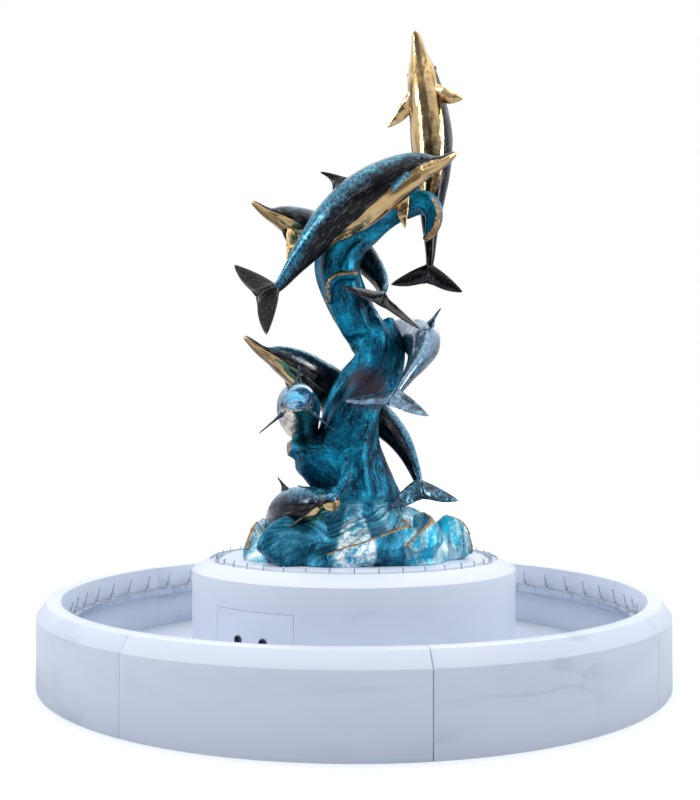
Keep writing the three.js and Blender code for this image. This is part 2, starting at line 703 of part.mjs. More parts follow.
for (let i = 0; i < PANEL_COUNT; i++) placeStone(`basin_wall_${i + 1}`, basinPanel(i));
placeStone("basin_floor", basinFloor());
const recess = hatchBlock(0, PEDESTAL_RADIUS - HATCH_THICKNESS, PEDESTAL_RADIUS + HATCH_THICKNESS);
placeStone("pedestal", pedestalDrum().subtract(recess));
let hatch = hatchBlock(HATCH_JOINT, PEDESTAL_RADIUS - HATCH_THICKNESS + SEAT, PEDESTAL_RADIUS);
OUTLET_DEGS.forEach((degrees, i) => {
  const holeFrom = PEDESTAL_RADIUS - 2 * HATCH_THICKNESS;
  const holeTo = PEDESTAL_RADIUS + HATCH_THICKNESS;
  hatch = hatch.subtract(radialBar(degrees, OUTLET_RADIUS + OUTLET_CLEARANCE, holeFrom, holeTo));
  place(`pedestal_outlet_${i + 1}`, outlet(degrees), OUTLET_COLOUR, 0.4, 0.8);
});
placeStone("pedestal_access_panel", hatch);
placeSteel("pedestal_nozzle_ring", gutterJets());
placeSteel("basin_nozzle_ring", basinJets());

let water = wave();
for (const [name, pose] of Object.entries(DOLPHINS)) {
  water = water.subtract(dolphin(pose, BRONZE_JOINT));
  placeBronze(name, dolphin(pose), BRONZE_COLOURS.dolphin);
}
placeBronze("wave_column", water, BRONZE_COLOURS.wave);

export default fountain;
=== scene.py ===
"""Bronze dolphin fountain: seven patinated dolphins round a twisting wave, on marble, in a round basin.

Metres, +Z up, -Y is the front. Bearings are degrees from the front, positive to the viewer's right.
"""

import json
import logging
import math
from collections.abc import Sequence
from dataclasses import dataclass, field
from enum import Enum

import bmesh
import bpy
import numpy as np
from numpy.typing import NDArray
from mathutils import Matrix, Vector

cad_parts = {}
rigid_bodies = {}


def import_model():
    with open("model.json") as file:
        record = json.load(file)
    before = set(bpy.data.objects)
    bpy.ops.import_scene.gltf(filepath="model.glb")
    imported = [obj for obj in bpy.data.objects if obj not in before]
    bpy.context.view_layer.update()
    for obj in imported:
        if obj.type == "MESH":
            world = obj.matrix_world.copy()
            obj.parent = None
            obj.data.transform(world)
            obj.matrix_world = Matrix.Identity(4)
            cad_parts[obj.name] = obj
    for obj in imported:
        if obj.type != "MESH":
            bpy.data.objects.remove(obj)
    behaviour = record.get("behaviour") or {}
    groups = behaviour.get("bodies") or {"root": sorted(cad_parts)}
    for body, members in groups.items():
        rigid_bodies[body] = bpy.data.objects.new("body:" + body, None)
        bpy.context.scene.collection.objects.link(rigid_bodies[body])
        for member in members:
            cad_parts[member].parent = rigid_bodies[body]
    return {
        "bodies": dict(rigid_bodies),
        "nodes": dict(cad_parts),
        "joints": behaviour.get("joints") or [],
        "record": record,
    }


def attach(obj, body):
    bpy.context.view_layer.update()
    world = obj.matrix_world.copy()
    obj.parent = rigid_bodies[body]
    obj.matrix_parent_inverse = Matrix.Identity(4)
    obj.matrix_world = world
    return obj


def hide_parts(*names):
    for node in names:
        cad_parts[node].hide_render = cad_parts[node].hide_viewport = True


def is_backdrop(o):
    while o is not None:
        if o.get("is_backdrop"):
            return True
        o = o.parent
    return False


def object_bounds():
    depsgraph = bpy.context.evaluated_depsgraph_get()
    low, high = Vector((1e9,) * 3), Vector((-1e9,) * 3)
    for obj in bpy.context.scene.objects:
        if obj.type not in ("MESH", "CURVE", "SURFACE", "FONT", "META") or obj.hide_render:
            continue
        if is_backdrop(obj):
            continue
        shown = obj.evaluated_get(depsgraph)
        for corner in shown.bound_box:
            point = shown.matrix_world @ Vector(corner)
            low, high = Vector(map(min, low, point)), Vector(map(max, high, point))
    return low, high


Array = NDArray[np.float64]
Vec3 = tuple[float, float, float]
Profile = Sequence[tuple[float, float]]
Piece = bpy.types.Object
Mesh = bpy.types.Mesh
Material = bpy.types.Material
Node = bpy.types.Node
Socket = bpy.types.NodeSocket
Tree = bpy.types.NodeTree

LOG = logging.getLogger("fountain")
TAU = 2 * math.pi
ROOT = "root"
# Edges that bend more than this many degrees stay sharp
STONE_SHARP = 50.0
METAL_SHARP = 40.0
# Points that are measured against a line at a time
BLOCK = 8192


class Slot(Enum):
    """The record's material slots."""

    WAVE = "wave_bronze"
    DOLPHIN = "dolphin_bronze"
    MARBLE = "marble"
    STEEL = "steel"
    OUTLET = "outlet_metal"


# Numbers and curves


def smoothstep(low: float, high: float, value: Array) -> Array:
    """Rises from 0 at low to 1 at high along 3t^2 - 2t^3.

    Args:
        low: value that gives 0.
        high: value that gives 1.
        value: numbers to map.

    Returns:
        Numbers from 0 to 1, shaped as value.
    """
    t = np.clip((np.asarray(value, float) - low) / (high - low), 0, 1)
    return t * t * (3 - 2 * t)


def read_rows(table: Sequence[Sequence[float]], share: Array, column: int = 1) -> Array:
    """Reads one column of a table on a smooth curve through its rows.

    Between two rows the value is the cubic Hermite blend of both values, and the slope at a row is the
    rise from the row before to the row after, over the distance between them.

    Args:
        table: rows that start with their share.
        share: shares to read at.
        column: column to read.

    Returns:
        The values, shaped as share.
    """
    rows = np.asarray(table, float)
    at, value = rows[:, 0], rows[:, column]
    before = np.maximum(np.arange(len(at)) - 1, 0)
    after = np.minimum(np.arange(len(at)) + 1, len(at) - 1)
    slope = (value[after] - value[before]) / (at[after] - at[before])
    row = np.clip(np.searchsorted(at, share, side="left") - 1, 0, len(at) - 2)
    width = at[row + 1] - at[row]
    t = (share - at[row]) / width
    return (
        (2 * t**3 - 3 * t**2 + 1) * value[row]
        + (t**3 - 2 * t**2 + t) * width * slope[row]
        + (3 * t**2 - 2 * t**3) * value[row + 1]
        + (t**3 - t**2) * width * slope[row + 1]
    )


def through_points(points: Array, share: Array) -> Array:
    """Uniform Catmull-Rom curve: each span is the cubic whose end slopes are half the neighbours' distance.

    Args:
        points: control points, one a row. The ends are mirrored for the missing neighbours.
        share: place along the curve, 0 to 1, with the same share for each span.

    Returns:
        One point for each share.
    """
    reach = np.vstack([2 * points[0] - points[1], points, 2 * points[-1] - points[-2]])
    place = np.clip(share, 0, 1) * (len(points) - 1)
    span = np.minimum(place.astype(int), len(points) - 2)
    t = (place - span)[:, None]
    a, b, c, d = (reach[span + k] for k in range(4))
    return 0.5 * (2 * b + (c - a) * t + (2 * a - 5 * b + 4 * c - d) * t**2 + (3 * b - a - 3 * c + d) * t**3)


def unit(vectors: Array) -> Array:
    """Vectors of length 1 in the same directions."""
    return vectors / np.maximum(np.linalg.norm(vectors, axis=-1, keepdims=True), 1e-12)


def square_to(vectors: Array, axis: Array) -> Array:
    """The part of each vector that is square to its axis, of length 1."""
    return unit(vectors - np.sum(vectors * axis, axis=-1, keepdims=True) * axis)


def value_noise(points: Array, seed: int) -> Array:
    """Smooth noise: a random value at each whole-number corner, blended by 3t^2 - 2t^3 along each axis.

    Args:
        points: places to read, one a row, where 1 is the size of a lump.
        seed: picks the pattern.

    Returns:
        Values from -1 to 1, one a row.
    """
    cell = np.floor(points).astype(np.int64)
    part = points - cell
    part = part * part * (3 - 2 * part)
    total = np.zeros(len(points))
    for corner in range(8):
        step = np.array([corner & 1, corner >> 1 & 1, corner >> 2 & 1])
        x, y, z = (cell + step).T
        mixed = (x * 73856093) ^ (y * 19349663) ^ (z * 83492791) ^ (seed * 2654435761)
        mixed = (mixed ^ (mixed >> 13)) * 1274126177
        value = (mixed & 0xFFFFFF) / 0x7FFFFF - 1
        total += value * np.prod(np.where(step, part, 1 - part), axis=1)
    return total


def nearest(points: Array, line: Array) -> tuple[NDArray[np.int64], Array]:
    """Finds the step of a line that is nearest to each point.

    Args:
        points: rows of x, y, z.
        line: the line's steps, one a row.

    Returns:
        The number of that step and the squared distance to it, for each point.
    """
    step, gap = np.empty(len(points), np.int64), np.empty(len(points))
    for start in range(0, len(points), BLOCK):
        part = slice(start, start + BLOCK)
        gaps = ((points[part, None] - line[None]) ** 2).sum(-1)
        step[part], gap[part] = gaps.argmin(1), gaps.min(1)
    return step, gap


def around(radius: Array | float, bearing: Array | float, z: Array | float) -> Array:
    """Points at a radius, bearing in degrees and height, as rows of x, y, z."""
    angle = np.radians(bearing)
    return np.stack(np.broadcast_arrays(radius * np.sin(angle), -radius * np.cos(angle), z), axis=-1)


# Meshes


@dataclass
class Shell:
    """A closed skin: its corners, its faces by corner count, and numbers painted on the corners."""

    points: Array
    faces: list[NDArray[np.int64]]
    marks: dict[str, Array] = field(default_factory=dict)
    finish: int = 0

    def volume(self) -> float:
        """Adds up the signed volumes between the origin and each face.

        Returns:
            The volume, which is positive when the faces point outwards.
        """
        total = 0.0
        for face in self.faces:
            corner = self.points[face]
            for k in range(1, face.shape[1] - 1):
                total += np.einsum("ij,ij->i", corner[:, 0], np.cross(corner[:, k], corner[:, k + 1])).sum()
        return total / 6

    def outward(self) -> "Shell":
        """The shell with its faces turned outwards."""
        if self.volume() < 0:
            self.faces = [face[:, ::-1] for face in self.faces]
        return self


def skin(rings: Array, loop: bool = False, marks: dict[str, Array] | None = None, finish: int = 0) -> Shell:
    """A skin of four-sided faces over a grid of rings, closed by a fan at each end unless it is a loop.

    Args:
        rings: points, shaped rings by corners by 3.
        loop: joins the last ring to the first.
        marks: numbers or rows of three for each corner, shaped rings by corners.
        finish: which of the piece's finishes covers it.

    Returns:
        The closed shell.
    """
    count, sides = rings.shape[:2]
    ring = np.arange(count if loop else count - 1)[:, None]
    side = np.arange(sides)[None, :]
    after, beside = (ring + 1) % count, (side + 1) % sides
    quads = np.stack(
        [ring * sides + side, ring * sides + beside, after * sides + beside, after * sides + side], axis=-1
    ).reshape(-1, 4)
    points = rings.reshape(-1, 3)
    painted = {name: values.reshape(-1, *values.shape[2:]) for name, values in (marks or {}).items()}
    if loop:
        return Shell(points, [quads], painted, finish).outward()
    first, last = count * sides, count * sides + 1
    k = np.arange(sides)
    near = np.stack([np.full(sides, first), (k + 1) % sides, k], axis=-1)
    far = (count - 1) * sides
    away = np.stack([np.full(sides, last), far + k, far + (k + 1) % sides], axis=-1)
    points = np.vstack([points, rings[0].mean(0), rings[-1].mean(0)])
    for name, values in (marks or {}).items():
        painted[name] = np.concatenate([painted[name], values[0].mean(0)[None], values[-1].mean(0)[None]])
    return Shell(points, [quads, np.vstack([near, away])], painted, finish).outward()


def join(shells: Sequence[Shell]) -> Shell:
    """Makes one shell of several, with the corner numbers moved up and missing marks as 0.

    Args:
        shells: the shells.

    Returns:
        The one shell.
    """
    names = sorted({name for shell in shells for name in shell.marks})
    points, faces, marks, start = [], [], {name: [] for name in names}, 0
    for shell in shells:
        points.append(shell.points)
        faces += [face + start for face in shell.faces]
        for name in names:
            marks[name].append(shell.marks.get(name, np.zeros(len(shell.points))))
        start += len(shell.points)
    return Shell(np.vstack(points), faces, {name: np.concatenate(parts) for name, parts in marks.items()})


def mesh_object(name: str, shells: Sequence[Shell], sharp: float | None = None) -> Piece:
    """Puts shells into one mesh object at the origin.

    Args:
        name: the piece's name.
        shells: closed shells, each with its own finish number.
        sharp: edges that bend more than this angle in degrees stay sharp. None keeps all smooth.

    Returns:
        The object, linked to the scene.
    """
    whole = join(shells)
    finishes = np.concatenate([np.full(sum(len(f) for f in shell.faces), shell.finish) for shell in shells])
    loops = np.concatenate([face.reshape(-1) for face in whole.faces])
    sizes = np.concatenate([np.full(len(face), face.shape[1]) for face in whole.faces])
    mesh = bpy.data.meshes.new(name)
    mesh.vertices.add(len(whole.points))
    mesh.vertices.foreach_set("co", whole.points.astype(np.float32).reshape(-1))
    mesh.loops.add(len(loops))
    mesh.loops.foreach_set("vertex_index", loops.astype(np.int32))
    mesh.polygons.add(len(sizes))
    mesh.polygons.foreach_set("loop_start", np.concatenate([[0], np.cumsum(sizes)[:-1]]).astype(np.int32))
    mesh.polygons.foreach_set("material_index", finishes.astype(np.int32))
    mesh.update(calc_edges=True)
    mesh.validate()
    mesh.shade_smooth()
    if sharp is not None:
        mesh.set_sharp_from_angle(angle=math.radians(sharp))
    for mark, values in whole.marks.items():
        paint(mesh, mark, values)
    piece = bpy.data.objects.new(name, mesh)
    bpy.context.scene.collection.objects.link(piece)
    return piece


def paint(mesh: Mesh, name: str, values: Array) -> None:
    """Stores a mark on a mesh's corners.

    Args:
        mesh: the mesh.
        name: the mark's name.
        values: a number or a row of three for each corner.
    """
    kind, key = ("FLOAT_VECTOR", "vector") if values.ndim == 2 else ("FLOAT", "value")
    layer = mesh.attributes.get(name) or mesh.attributes.new(name, kind, "POINT")
    layer.data.foreach_set(key, values.astype(np.float32).reshape(-1))


def corners_of(mesh: Mesh) -> Array:
    """Reads the corners of a mesh.

    Args:
        mesh: the mesh.

    Returns:
        Rows of x, y, z.
    """
    flat = np.empty(len(mesh.vertices) * 3, np.float32)
    mesh.vertices.foreach_get("co", flat)
    return flat.reshape(-1, 3).astype(float)


def settle(piece: Piece) -> None:
    """Applies a piece's modifiers to its mesh.

    Args:
        piece: the piece.
    """
    seen = piece.evaluated_get(bpy.context.evaluated_depsgraph_get())
    done = bpy.data.meshes.new_from_object(seen)
    piece.modifiers.clear()
    old, piece.data = piece.data, done
    bpy.data.meshes.remove(old)


def carve(piece: Piece, tools: Sequence[Piece], sharp: float) -> None:
    """Cuts the tools' shapes out of a piece, and removes the tools.

    Args:
        piece: what is cut.
        tools: closed shapes that are taken away.
        sharp: edges that bend more than this angle in degrees stay sharp.
    """
    for tool in tools:
        cut = piece.modifiers.new(tool.name, "BOOLEAN")
        cut.operation, cut.solver, cut.object = "DIFFERENCE", "EXACT", tool
    bpy.context.view_layer.update()
    settle(piece)
    piece.data.shade_smooth()
    piece.data.set_sharp_from_angle(angle=math.radians(sharp))
    for tool in tools:
        bpy.data.objects.remove(tool)


def rounded(corners: Profile, ease: float, steps: int = 3) -> tuple[Array, Array]:
    """A profile with each corner eased by an arc.

    The arc runs from ease before the corner to ease past it on a quadratic curve whose middle control
    point is the corner itself.

    Args:
        corners: closed profile as radius and height.
        ease: distance from a corner to where its arc starts.
        steps: points on each arc.

    Returns:
        The eased points, and the direction away from the profile's middle square to its outline.
    """
    sharp = np.asarray(corners, float)
    back, ahead = np.roll(sharp, 1, axis=0) - sharp, np.roll(sharp, -1, axis=0) - sharp
    start, end = sharp + unit(back) * ease, sharp + unit(ahead) * ease
    t = np.linspace(0, 1, steps)[None, :, None]
    arc = (1 - t) ** 2 * start[:, None] + 2 * t * (1 - t) * sharp[:, None] + t**2 * end[:, None]
    points = arc.reshape(-1, 2)
    along = unit(np.roll(points, -1, axis=0) - np.roll(points, 1, axis=0))
    normal = np.stack([along[:, 1], -along[:, 0]], axis=-1)
    area = np.sum(points[:, 0] * np.roll(points[:, 1], -1) - np.roll(points[:, 0], -1) * points[:, 1])
    return points, normal if area > 0 else -normal


def curved_slab(corners: Profile, start: float, end: float, ease: float, steps: int) -> Shell:
    """A profile carried round the axis between two bearings, with all its edges eased.

    At each end the outline shrinks by ease times 1 - sin(a) while it moves ease times 1 - cos(a) inwards.

    Args:
        corners: closed profile as radius and height.
        start: first bearing in degrees.
        end: last bearing in degrees.
        ease: radius of the eased edges.
        steps: rings along the sweep.

    Returns:
        The closed shell.
    """
    outline, normal = rounded(corners, ease)
    turn = np.radians([0, 35, 65, 90])
    shrink, inward = ease * (1 - np.sin(turn)), ease * (1 - np.cos(turn))
    inward = inward[-1] - inward[::-1]
    radius = max(r for r, _ in corners)
    run_in = start + np.degrees(inward / radius)
    run_out = end - np.degrees(inward[::-1] / radius)
    middle = np.linspace(run_in[-1], run_out[0], steps)[1:-1]
    bearings = np.concatenate([run_in, middle, run_out])
    shrinks = np.concatenate([shrink, np.zeros(len(middle)), shrink[::-1]])
    flat = outline[None] - normal[None] * shrinks[:, None, None]
    return skin(around(flat[..., 0], bearings[:, None], flat[..., 1]))


def turned_ring(corners: Profile, ease: float, steps: int) -> Shell:
    """A closed profile carried all the way round the axis, with its edges eased.

    Args:
        corners: closed profile as radius and height.
        ease: radius of the eased edges.
        steps: rings round the axis.

    Returns:
        The closed shell.
    """
    outline, _ = rounded(corners, ease)
    bearings = np.arange(steps) * 360 / steps
    return skin(around(outline[None, :, 0], bearings[:, None], outline[None, :, 1]), True)


def turned_solid(corners: Profile, ease: float, steps: int) -> Shell:
    """A profile from axis to axis, turned round it, with the corners off the axis eased.

    Each level of the profile is one ring, and a fan closes the two ends on the axis.

    Args:
        corners: open profile as radius and height, whose two ends lie on the axis.
        ease: radius of the eased corners.
        steps: corners of each ring.

    Returns:
        The closed shell.
    """
    line, _ = rounded(corners, ease)
    line = line[3:-3]
    bearings = np.arange(steps) * 360 / steps
    return skin(around(line[:, None, 0], bearings[None, :], line[:, None, 1]))


def stack(radii: Profile, sides: int, finish: int = 0) -> Shell:
    """A small turned part: rings round its own Z axis.

    Args:
        radii: radius and height of each ring.
        sides: corners of each ring.
        finish: which of the piece's finishes covers it.

    Returns:
        The closed shell.
    """
    rows = np.asarray(radii, float)
    angle = np.arange(sides) * TAU / sides
    rings = np.stack(
        np.broadcast_arrays(rows[:, :1] * np.cos(angle), rows[:, :1] * np.sin(angle), rows[:, 1:2]), axis=-1
    )
    return skin(rings, finish=finish)


def ring_of_copies(part: Shell, radius: float, z: float, lean: float, bearings: Array) -> Shell:
    """Copies a small part round the axis, leaning towards it.

    A corner (x, y, z) of the part goes to the point x along the tangent and y outwards from its copy's
    foot, after the part is turned by lean about the tangent.

    Args:
        part: the small part, with its foot at its own origin.
        radius: distance of the feet from the axis.
        z: height of the feet.
        lean: lean towards the axis in degrees.
        bearings: one bearing in degrees for each copy.

    Returns:
        One shell of all the copies.
    """
    tilt = math.radians(lean)
    x, y, up = part.points.T
    out = y * math.cos(tilt) - up * math.sin(tilt)
    rise = y * math.sin(tilt) + up * math.cos(tilt)
    angle = np.radians(bearings)[:, None]
    tangent = np.stack(np.broadcast_arrays(np.cos(angle), np.sin(angle), 0 * angle), axis=-1)
    outward = np.stack(np.broadcast_arrays(np.sin(angle), -np.cos(angle), 0 * angle), axis=-1)
    points = tangent * x[None, :, None] + outward * (radius + out)[None, :, None]
    points[..., 2] += z + rise[None]
    step = np.arange(len(bearings))[:, None, None] * len(part.points)
    faces = [(face[None] + step).reshape(-1, face.shape[1]) for face in part.faces]
    return Shell(points.reshape(-1, 3), faces, finish=part.finish)


# Finishes


def linear(code: str) -> tuple[float, float, float, float]:
    """Turns an sRGB colour into a linear one.

    Args:
        code: the colour as hex, such as "#1f5f88".

    Returns:
        Linear red, green, blue and alpha.
    """
    parts = [int(code[k : k + 2], 16) / 255 for k in (1, 3, 5)]
    red, green, blue = (c / 12.92 if c <= 0.04045 else ((c + 0.055) / 1.055) ** 2.4 for c in parts)
    return red, green, blue, 1.0


def add(
    tree: Tree,
    kind: str,
    inputs: dict[str | int, object] | None = None,
    stops: Sequence[tuple[float, str]] = (),
    **settings: object,
) -> Node:
    """Adds one node with its settings and links.

    Args:
        tree: node tree it goes into.
        kind: Blender's name of the node, without "ShaderNode".
        inputs: value, hex colour or source socket for each input, by the input's name or number.
        stops: place and colour of each stop, for a ramp.
        settings: the node's own properties.

    Returns:
        The node.
    """
    node = tree.nodes.new("ShaderNode" + kind)
    for name, value in settings.items():
        setattr(node, name, value)
    for spot, (place, colour) in enumerate(stops):
        ramp = node.color_ramp.elements
        stop = ramp[spot] if spot < len(ramp) and spot < 2 else ramp.new(place)
        stop.position, stop.color = place, linear(colour)
    for name, value in (inputs or {}).items():
        if isinstance(value, Socket):
            tree.links.new(value, node.inputs[name])
        else:
            node.inputs[name].default_value = linear(value) if isinstance(value, str) else value
    return node


@dataclass(frozen=True)
class Finish:
    """A material: what it is, how it was made, and the values that are the same all over it."""

    name: str
    metallic: float
    roughness: float
    ior: float = 1.5
    coat: float = 0.0
    coat_roughness: float = 0.1

    def start(self) -> tuple[Material, Tree, Node, Socket]:
        """Makes the material with its shader and output.

        Returns:
            The material, its node tree, its shader node and the piece's own coordinates in metres.
        """
        material = bpy.data.materials.new(self.name)
        material.use_nodes = True
        tree = material.node_tree
        tree.nodes.clear()
        even = {"Metallic": self.metallic, "Roughness": self.roughness, "IOR": self.ior}
        coat = {"Coat Weight": self.coat, "Coat Roughness": self.coat_roughness}
        shader = add(tree, "BsdfPrincipled", even | coat)
        add(tree, "OutputMaterial", {"Surface": shader.outputs[0]})
        place = add(tree, "TexCoord").outputs["Object"]
        return material, tree, shader, place

    @staticmethod
    def wire(tree: Tree, shader: Node, sources: dict[str, Socket]) -> None:
        """Links each source to the shader's input of that name.

        Args:
            tree: the material's node tree.
            shader: its shader node.
            sources: the source of each input.
        """
        for name, source in sources.items():
            tree.links.new(source, shader.inputs[name])


@dataclass(frozen=True)
class HonedMarble(Finish):
    """White marble, sawn and honed: an even, satin face with soft grey veins that run slantwise."""

    body: str = "#d6dce8"
    cloud: str = "#cbd3e1"
    vein: str = "#8a95ac"
    vein_strength: float = 0.32
    cloud_size: float = 0.9
    vein_size: float = 1.6
    grain_size: float = 0.004

    def build(self) -> Material:
        """Makes the marble, whose veins follow where stretched, bent noise crosses its middle value.

        Returns:
            The material.
        """
        material, tree, shader, place = self.start()
        slab = add(tree, "Attribute", attribute_name="slab").outputs["Fac"]
        laid = add(
            tree,
            "Mapping",
            {"Vector": place, "Rotation": (0.3, math.radians(28), 0.2), "Scale": (0.45, 0.6, 1.5)},
        ).outputs[0]
        veins = add(
            tree,
            "TexNoise",
            {"Vector": laid, "W": slab, "Scale": 1 / self.vein_size, "Detail": 6.0, "Distortion": 0.9},
            noise_dimensions="4D",
        ).outputs["Fac"]
        from_middle = add(tree, "Math", {0: veins, 1: 0.5}, operation="SUBTRACT").outputs[0]
        far = add(tree, "Math", {0: from_middle}, operation="ABSOLUTE").outputs[0]
        line = add(
            tree,
            "MapRange",
            {"Value": far, "From Min": 0.0, "From Max": 0.03, "To Min": 1.0, "To Max": 0.0},
            interpolation_type="SMOOTHSTEP",
        ).outputs[0]
        clouds = add(
            tree, "TexNoise", {"Vector": laid, "W": slab, "Scale": 1 / self.cloud_size, "Detail": 4.0},
            noise_dimensions="4D",
        ).outputs["Fac"]
        patch = add(
            tree, "MapRange", {"Value": clouds, "From Min": 0.42, "From Max": 0.72},
            interpolation_type="SMOOTHSTEP",
        ).outputs[0]
        strength = add(tree, "Math", {0: line, 1: patch}, operation="MULTIPLY").outputs[0]
        faint = add(tree, "Math", {0: strength, 1: self.vein_strength}, operation="MULTIPLY").outputs[0]
        ground = add(tree, "Mix", {0: patch, 6: self.body, 7: self.cloud}, data_type="RGBA").outputs[2]
        colour = add(tree, "Mix", {0: faint, 6: ground, 7: self.vein}, data_type="RGBA").outputs[2]
        grain = add(tree, "TexNoise", {"Vector": place, "Scale": 1 / self.grain_size, "Detail": 2.0})
        bump = add(tree, "Bump", {"Height": grain.outputs["Fac"], "Strength": 0.06, "Distance": 0.0005})
        self.wire(tree, shader, {"Base Color": colour, "Normal": bump.outputs[0]})
        return material


@dataclass(frozen=True)
class PatinatedBronze(Finish):
    """Cast bronze, chased, coloured with hot chemical patina and waxed, its belly polished to bare metal.

    The patina is thin, so the metal's gloss comes through it. The wax dries in a net of pale cracks, and
    wire brushing leaves hairlines along the body. The near-black flank and blue back are partly painted shade
    and light.
    """

    # Patina colours that also carry painted shade on the flank and painted light on the back
    flank: str = "#05090e"
    middle: str = "#092334"
    back: str = "#114d6e"
    back_light: str = "#2d83a9"
    net: str = "#62b9cf"
    flank_net: str = "#a3948a"
    net_strength: float = 0.75
    spread: float = 0.3
    turn_low: float = -0.05
    turn_high: float = 0.6
    bare: str = "#c99a52"
    bare_pale: str = "#eed3a0"
    # Brown tarnish that also stands for painted dark reflections on the bare belly
    tarnish_and_reflection: str = "#4b371c"
    net_size: float = 0.042
    hair_size: float = 0.017
    blot_size: float = 0.13
    mottle_size: float = 0.035
    dent_size: float = 0.11

    def patina(self, tree: Tree, back: Socket, place: Socket, lie: Socket, blots: Socket) -> Socket:
        """The patina's colour: dark flank to blue back, partly painted shade and painted light, with mottle,
        the crack net and hairlines.

        Args:
            tree: the material's node tree.
            back: how far up the side a point is, from -1 to 1.
            place: the piece's own coordinates.
            lie: coordinates that run along the body.
            blots: broad noise.

        Returns:
            The colour.
        """
        mottle = add(
            tree, "TexNoise", {"Vector": place, "Scale": 1 / self.mottle_size, "Detail": 4.0}
        ).outputs["Fac"]
        both = add(tree, "Math", {0: blots, 1: mottle}, operation="ADD").outputs[0]
        spread = add(
            tree,
            "MapRange",
            {"Value": both, "From Min": 0.6, "From Max": 1.4, "To Min": -self.spread, "To Max": self.spread},
        ).outputs[0]
        height = add(tree, "Math", {0: back, 1: spread}, operation="ADD").outputs[0]
        # lit is painted shade on the flank and painted light on the back, over the patina's own tone; the
        # lighter mottle on the lit back is painted highlight
        lit = add(
            tree, "MapRange", {"Value": height, "From Min": self.turn_low, "From Max": self.turn_high}
        ).outputs[0]
        dark = add(tree, "ValToRGB", {0: lit}, ((0.0, self.flank), (1.0, self.back), (0.4, self.middle)))
        light = add(
            tree, "MapRange", {"Value": mottle, "From Min": 0.5, "From Max": 0.72, "To Max": 0.6}
        ).outputs[0]
        lift = add(tree, "Math", {0: light, 1: lit}, operation="MULTIPLY").outputs[0]
        coat = add(
            tree, "Mix", {0: lift, 6: dark.outputs[0], 7: self.back_light}, data_type="RGBA"
        ).outputs[2]
        bend = add(tree, "TexNoise", {"Vector": place, "Scale": 14.0, "Detail": 2.0}).outputs["Color"]
        offset = add(tree, "VectorMath", {0: bend, 1: (0.04, 0.04, 0.04)}, operation="MULTIPLY").outputs[0]
        bent = add(tree, "VectorMath", {0: place, 1: offset}, operation="ADD").outputs[0]
        cells = add(
            tree, "TexVoronoi", {"Vector": bent, "Scale": 1 / self.net_size}, feature="DISTANCE_TO_EDGE"
        ).outputs["Distance"]
        crack = add(
            tree,
            "MapRange",
            {"Value": cells, "From Min": 0.02, "From Max": 0.17, "To Min": 1.0, "To Max": 0.0},
            interpolation_type="SMOOTHSTEP",
        ).outputs[0]
        hairs = add(
            tree, "TexNoise", {"Vector": lie, "Scale": 1 / self.hair_size, "Detail": 3.0, "Roughness": 0.6}
        ).outputs["Fac"]
        hair = add(tree, "MapRange", {"Value": hairs, "From Min": 0.54, "From Max": 0.64}).outputs[0]
        patchy = add(
            tree, "MapRange", {"Value": blots, "From Min": 0.36, "From Max": 0.58, "To Min": 0.25}
        ).outputs[0]
        lines = add(tree, "Mix", {0: lit, 2: hair, 3: crack}).outputs[0]
        shown = add(
            tree, "MapRange", {"Value": lit, "To Min": self.net_strength * 0.6, "To Max": self.net_strength}
        ).outputs[0]
        drawn = add(tree, "Math", {0: lines, 1: patchy}, operation="MULTIPLY").outputs[0]
        net = add(tree, "Math", {0: drawn, 1: shown}, operation="MULTIPLY").outputs[0]
        tint = add(tree, "Mix", {0: lit, 6: self.flank_net, 7: self.net}, data_type="RGBA").outputs[2]
        return add(tree, "Mix", {0: net, 6: coat, 7: tint}, data_type="RGBA").outputs[2]

    def metal(self, tree: Tree, back: Socket, lie: Socket, blots: Socket) -> Socket:
        """Bare bronze: yellow to pale, with brown tarnish and painted dark reflection in streaks, and a
        painted dark reflection along the middle of the belly.

        Args:
            tree: the material's node tree.
            back: how far up the side a point is, from -1 to 1.
            lie: coordinates that run along the body.
            blots: broad noise.

        Returns:
            The colour.
        """
        # Streaks along the body: brown tarnish, and also painted reflections of ripples
        streaks = add(
            tree, "TexNoise", {"Vector": lie, "Scale": 1 / (4 * self.hair_size), "Detail": 4.0}
        ).outputs["Fac"]
        gold = add(tree, "Mix", {0: blots, 6: self.bare, 7: self.bare_pale}, data_type="RGBA").outputs[2]
        # Painted dark reflection along the middle of the belly
        middle = add(
            tree, "MapRange", {"Value": back, "From Min": -0.93, "From Max": -0.99, "To Max": 0.16},
            interpolation_type="SMOOTHSTEP",
        ).outputs[0]
        streaks_and_reflection = add(tree, "Math", {0: streaks, 1: middle}, operation="ADD").outputs[0]
        tarnish_and_reflection_mask = add(
            tree, "MapRange", {"Value": streaks_and_reflection, "From Min": 0.52, "From Max": 0.68, "To Max": 0.85},
            interpolation_type="SMOOTHSTEP",
        ).outputs[0]
        return add(tree, "Mix", {0: tarnish_and_reflection_mask, 6: gold, 7: self.tarnish_and_reflection}, data_type="RGBA").outputs[2]

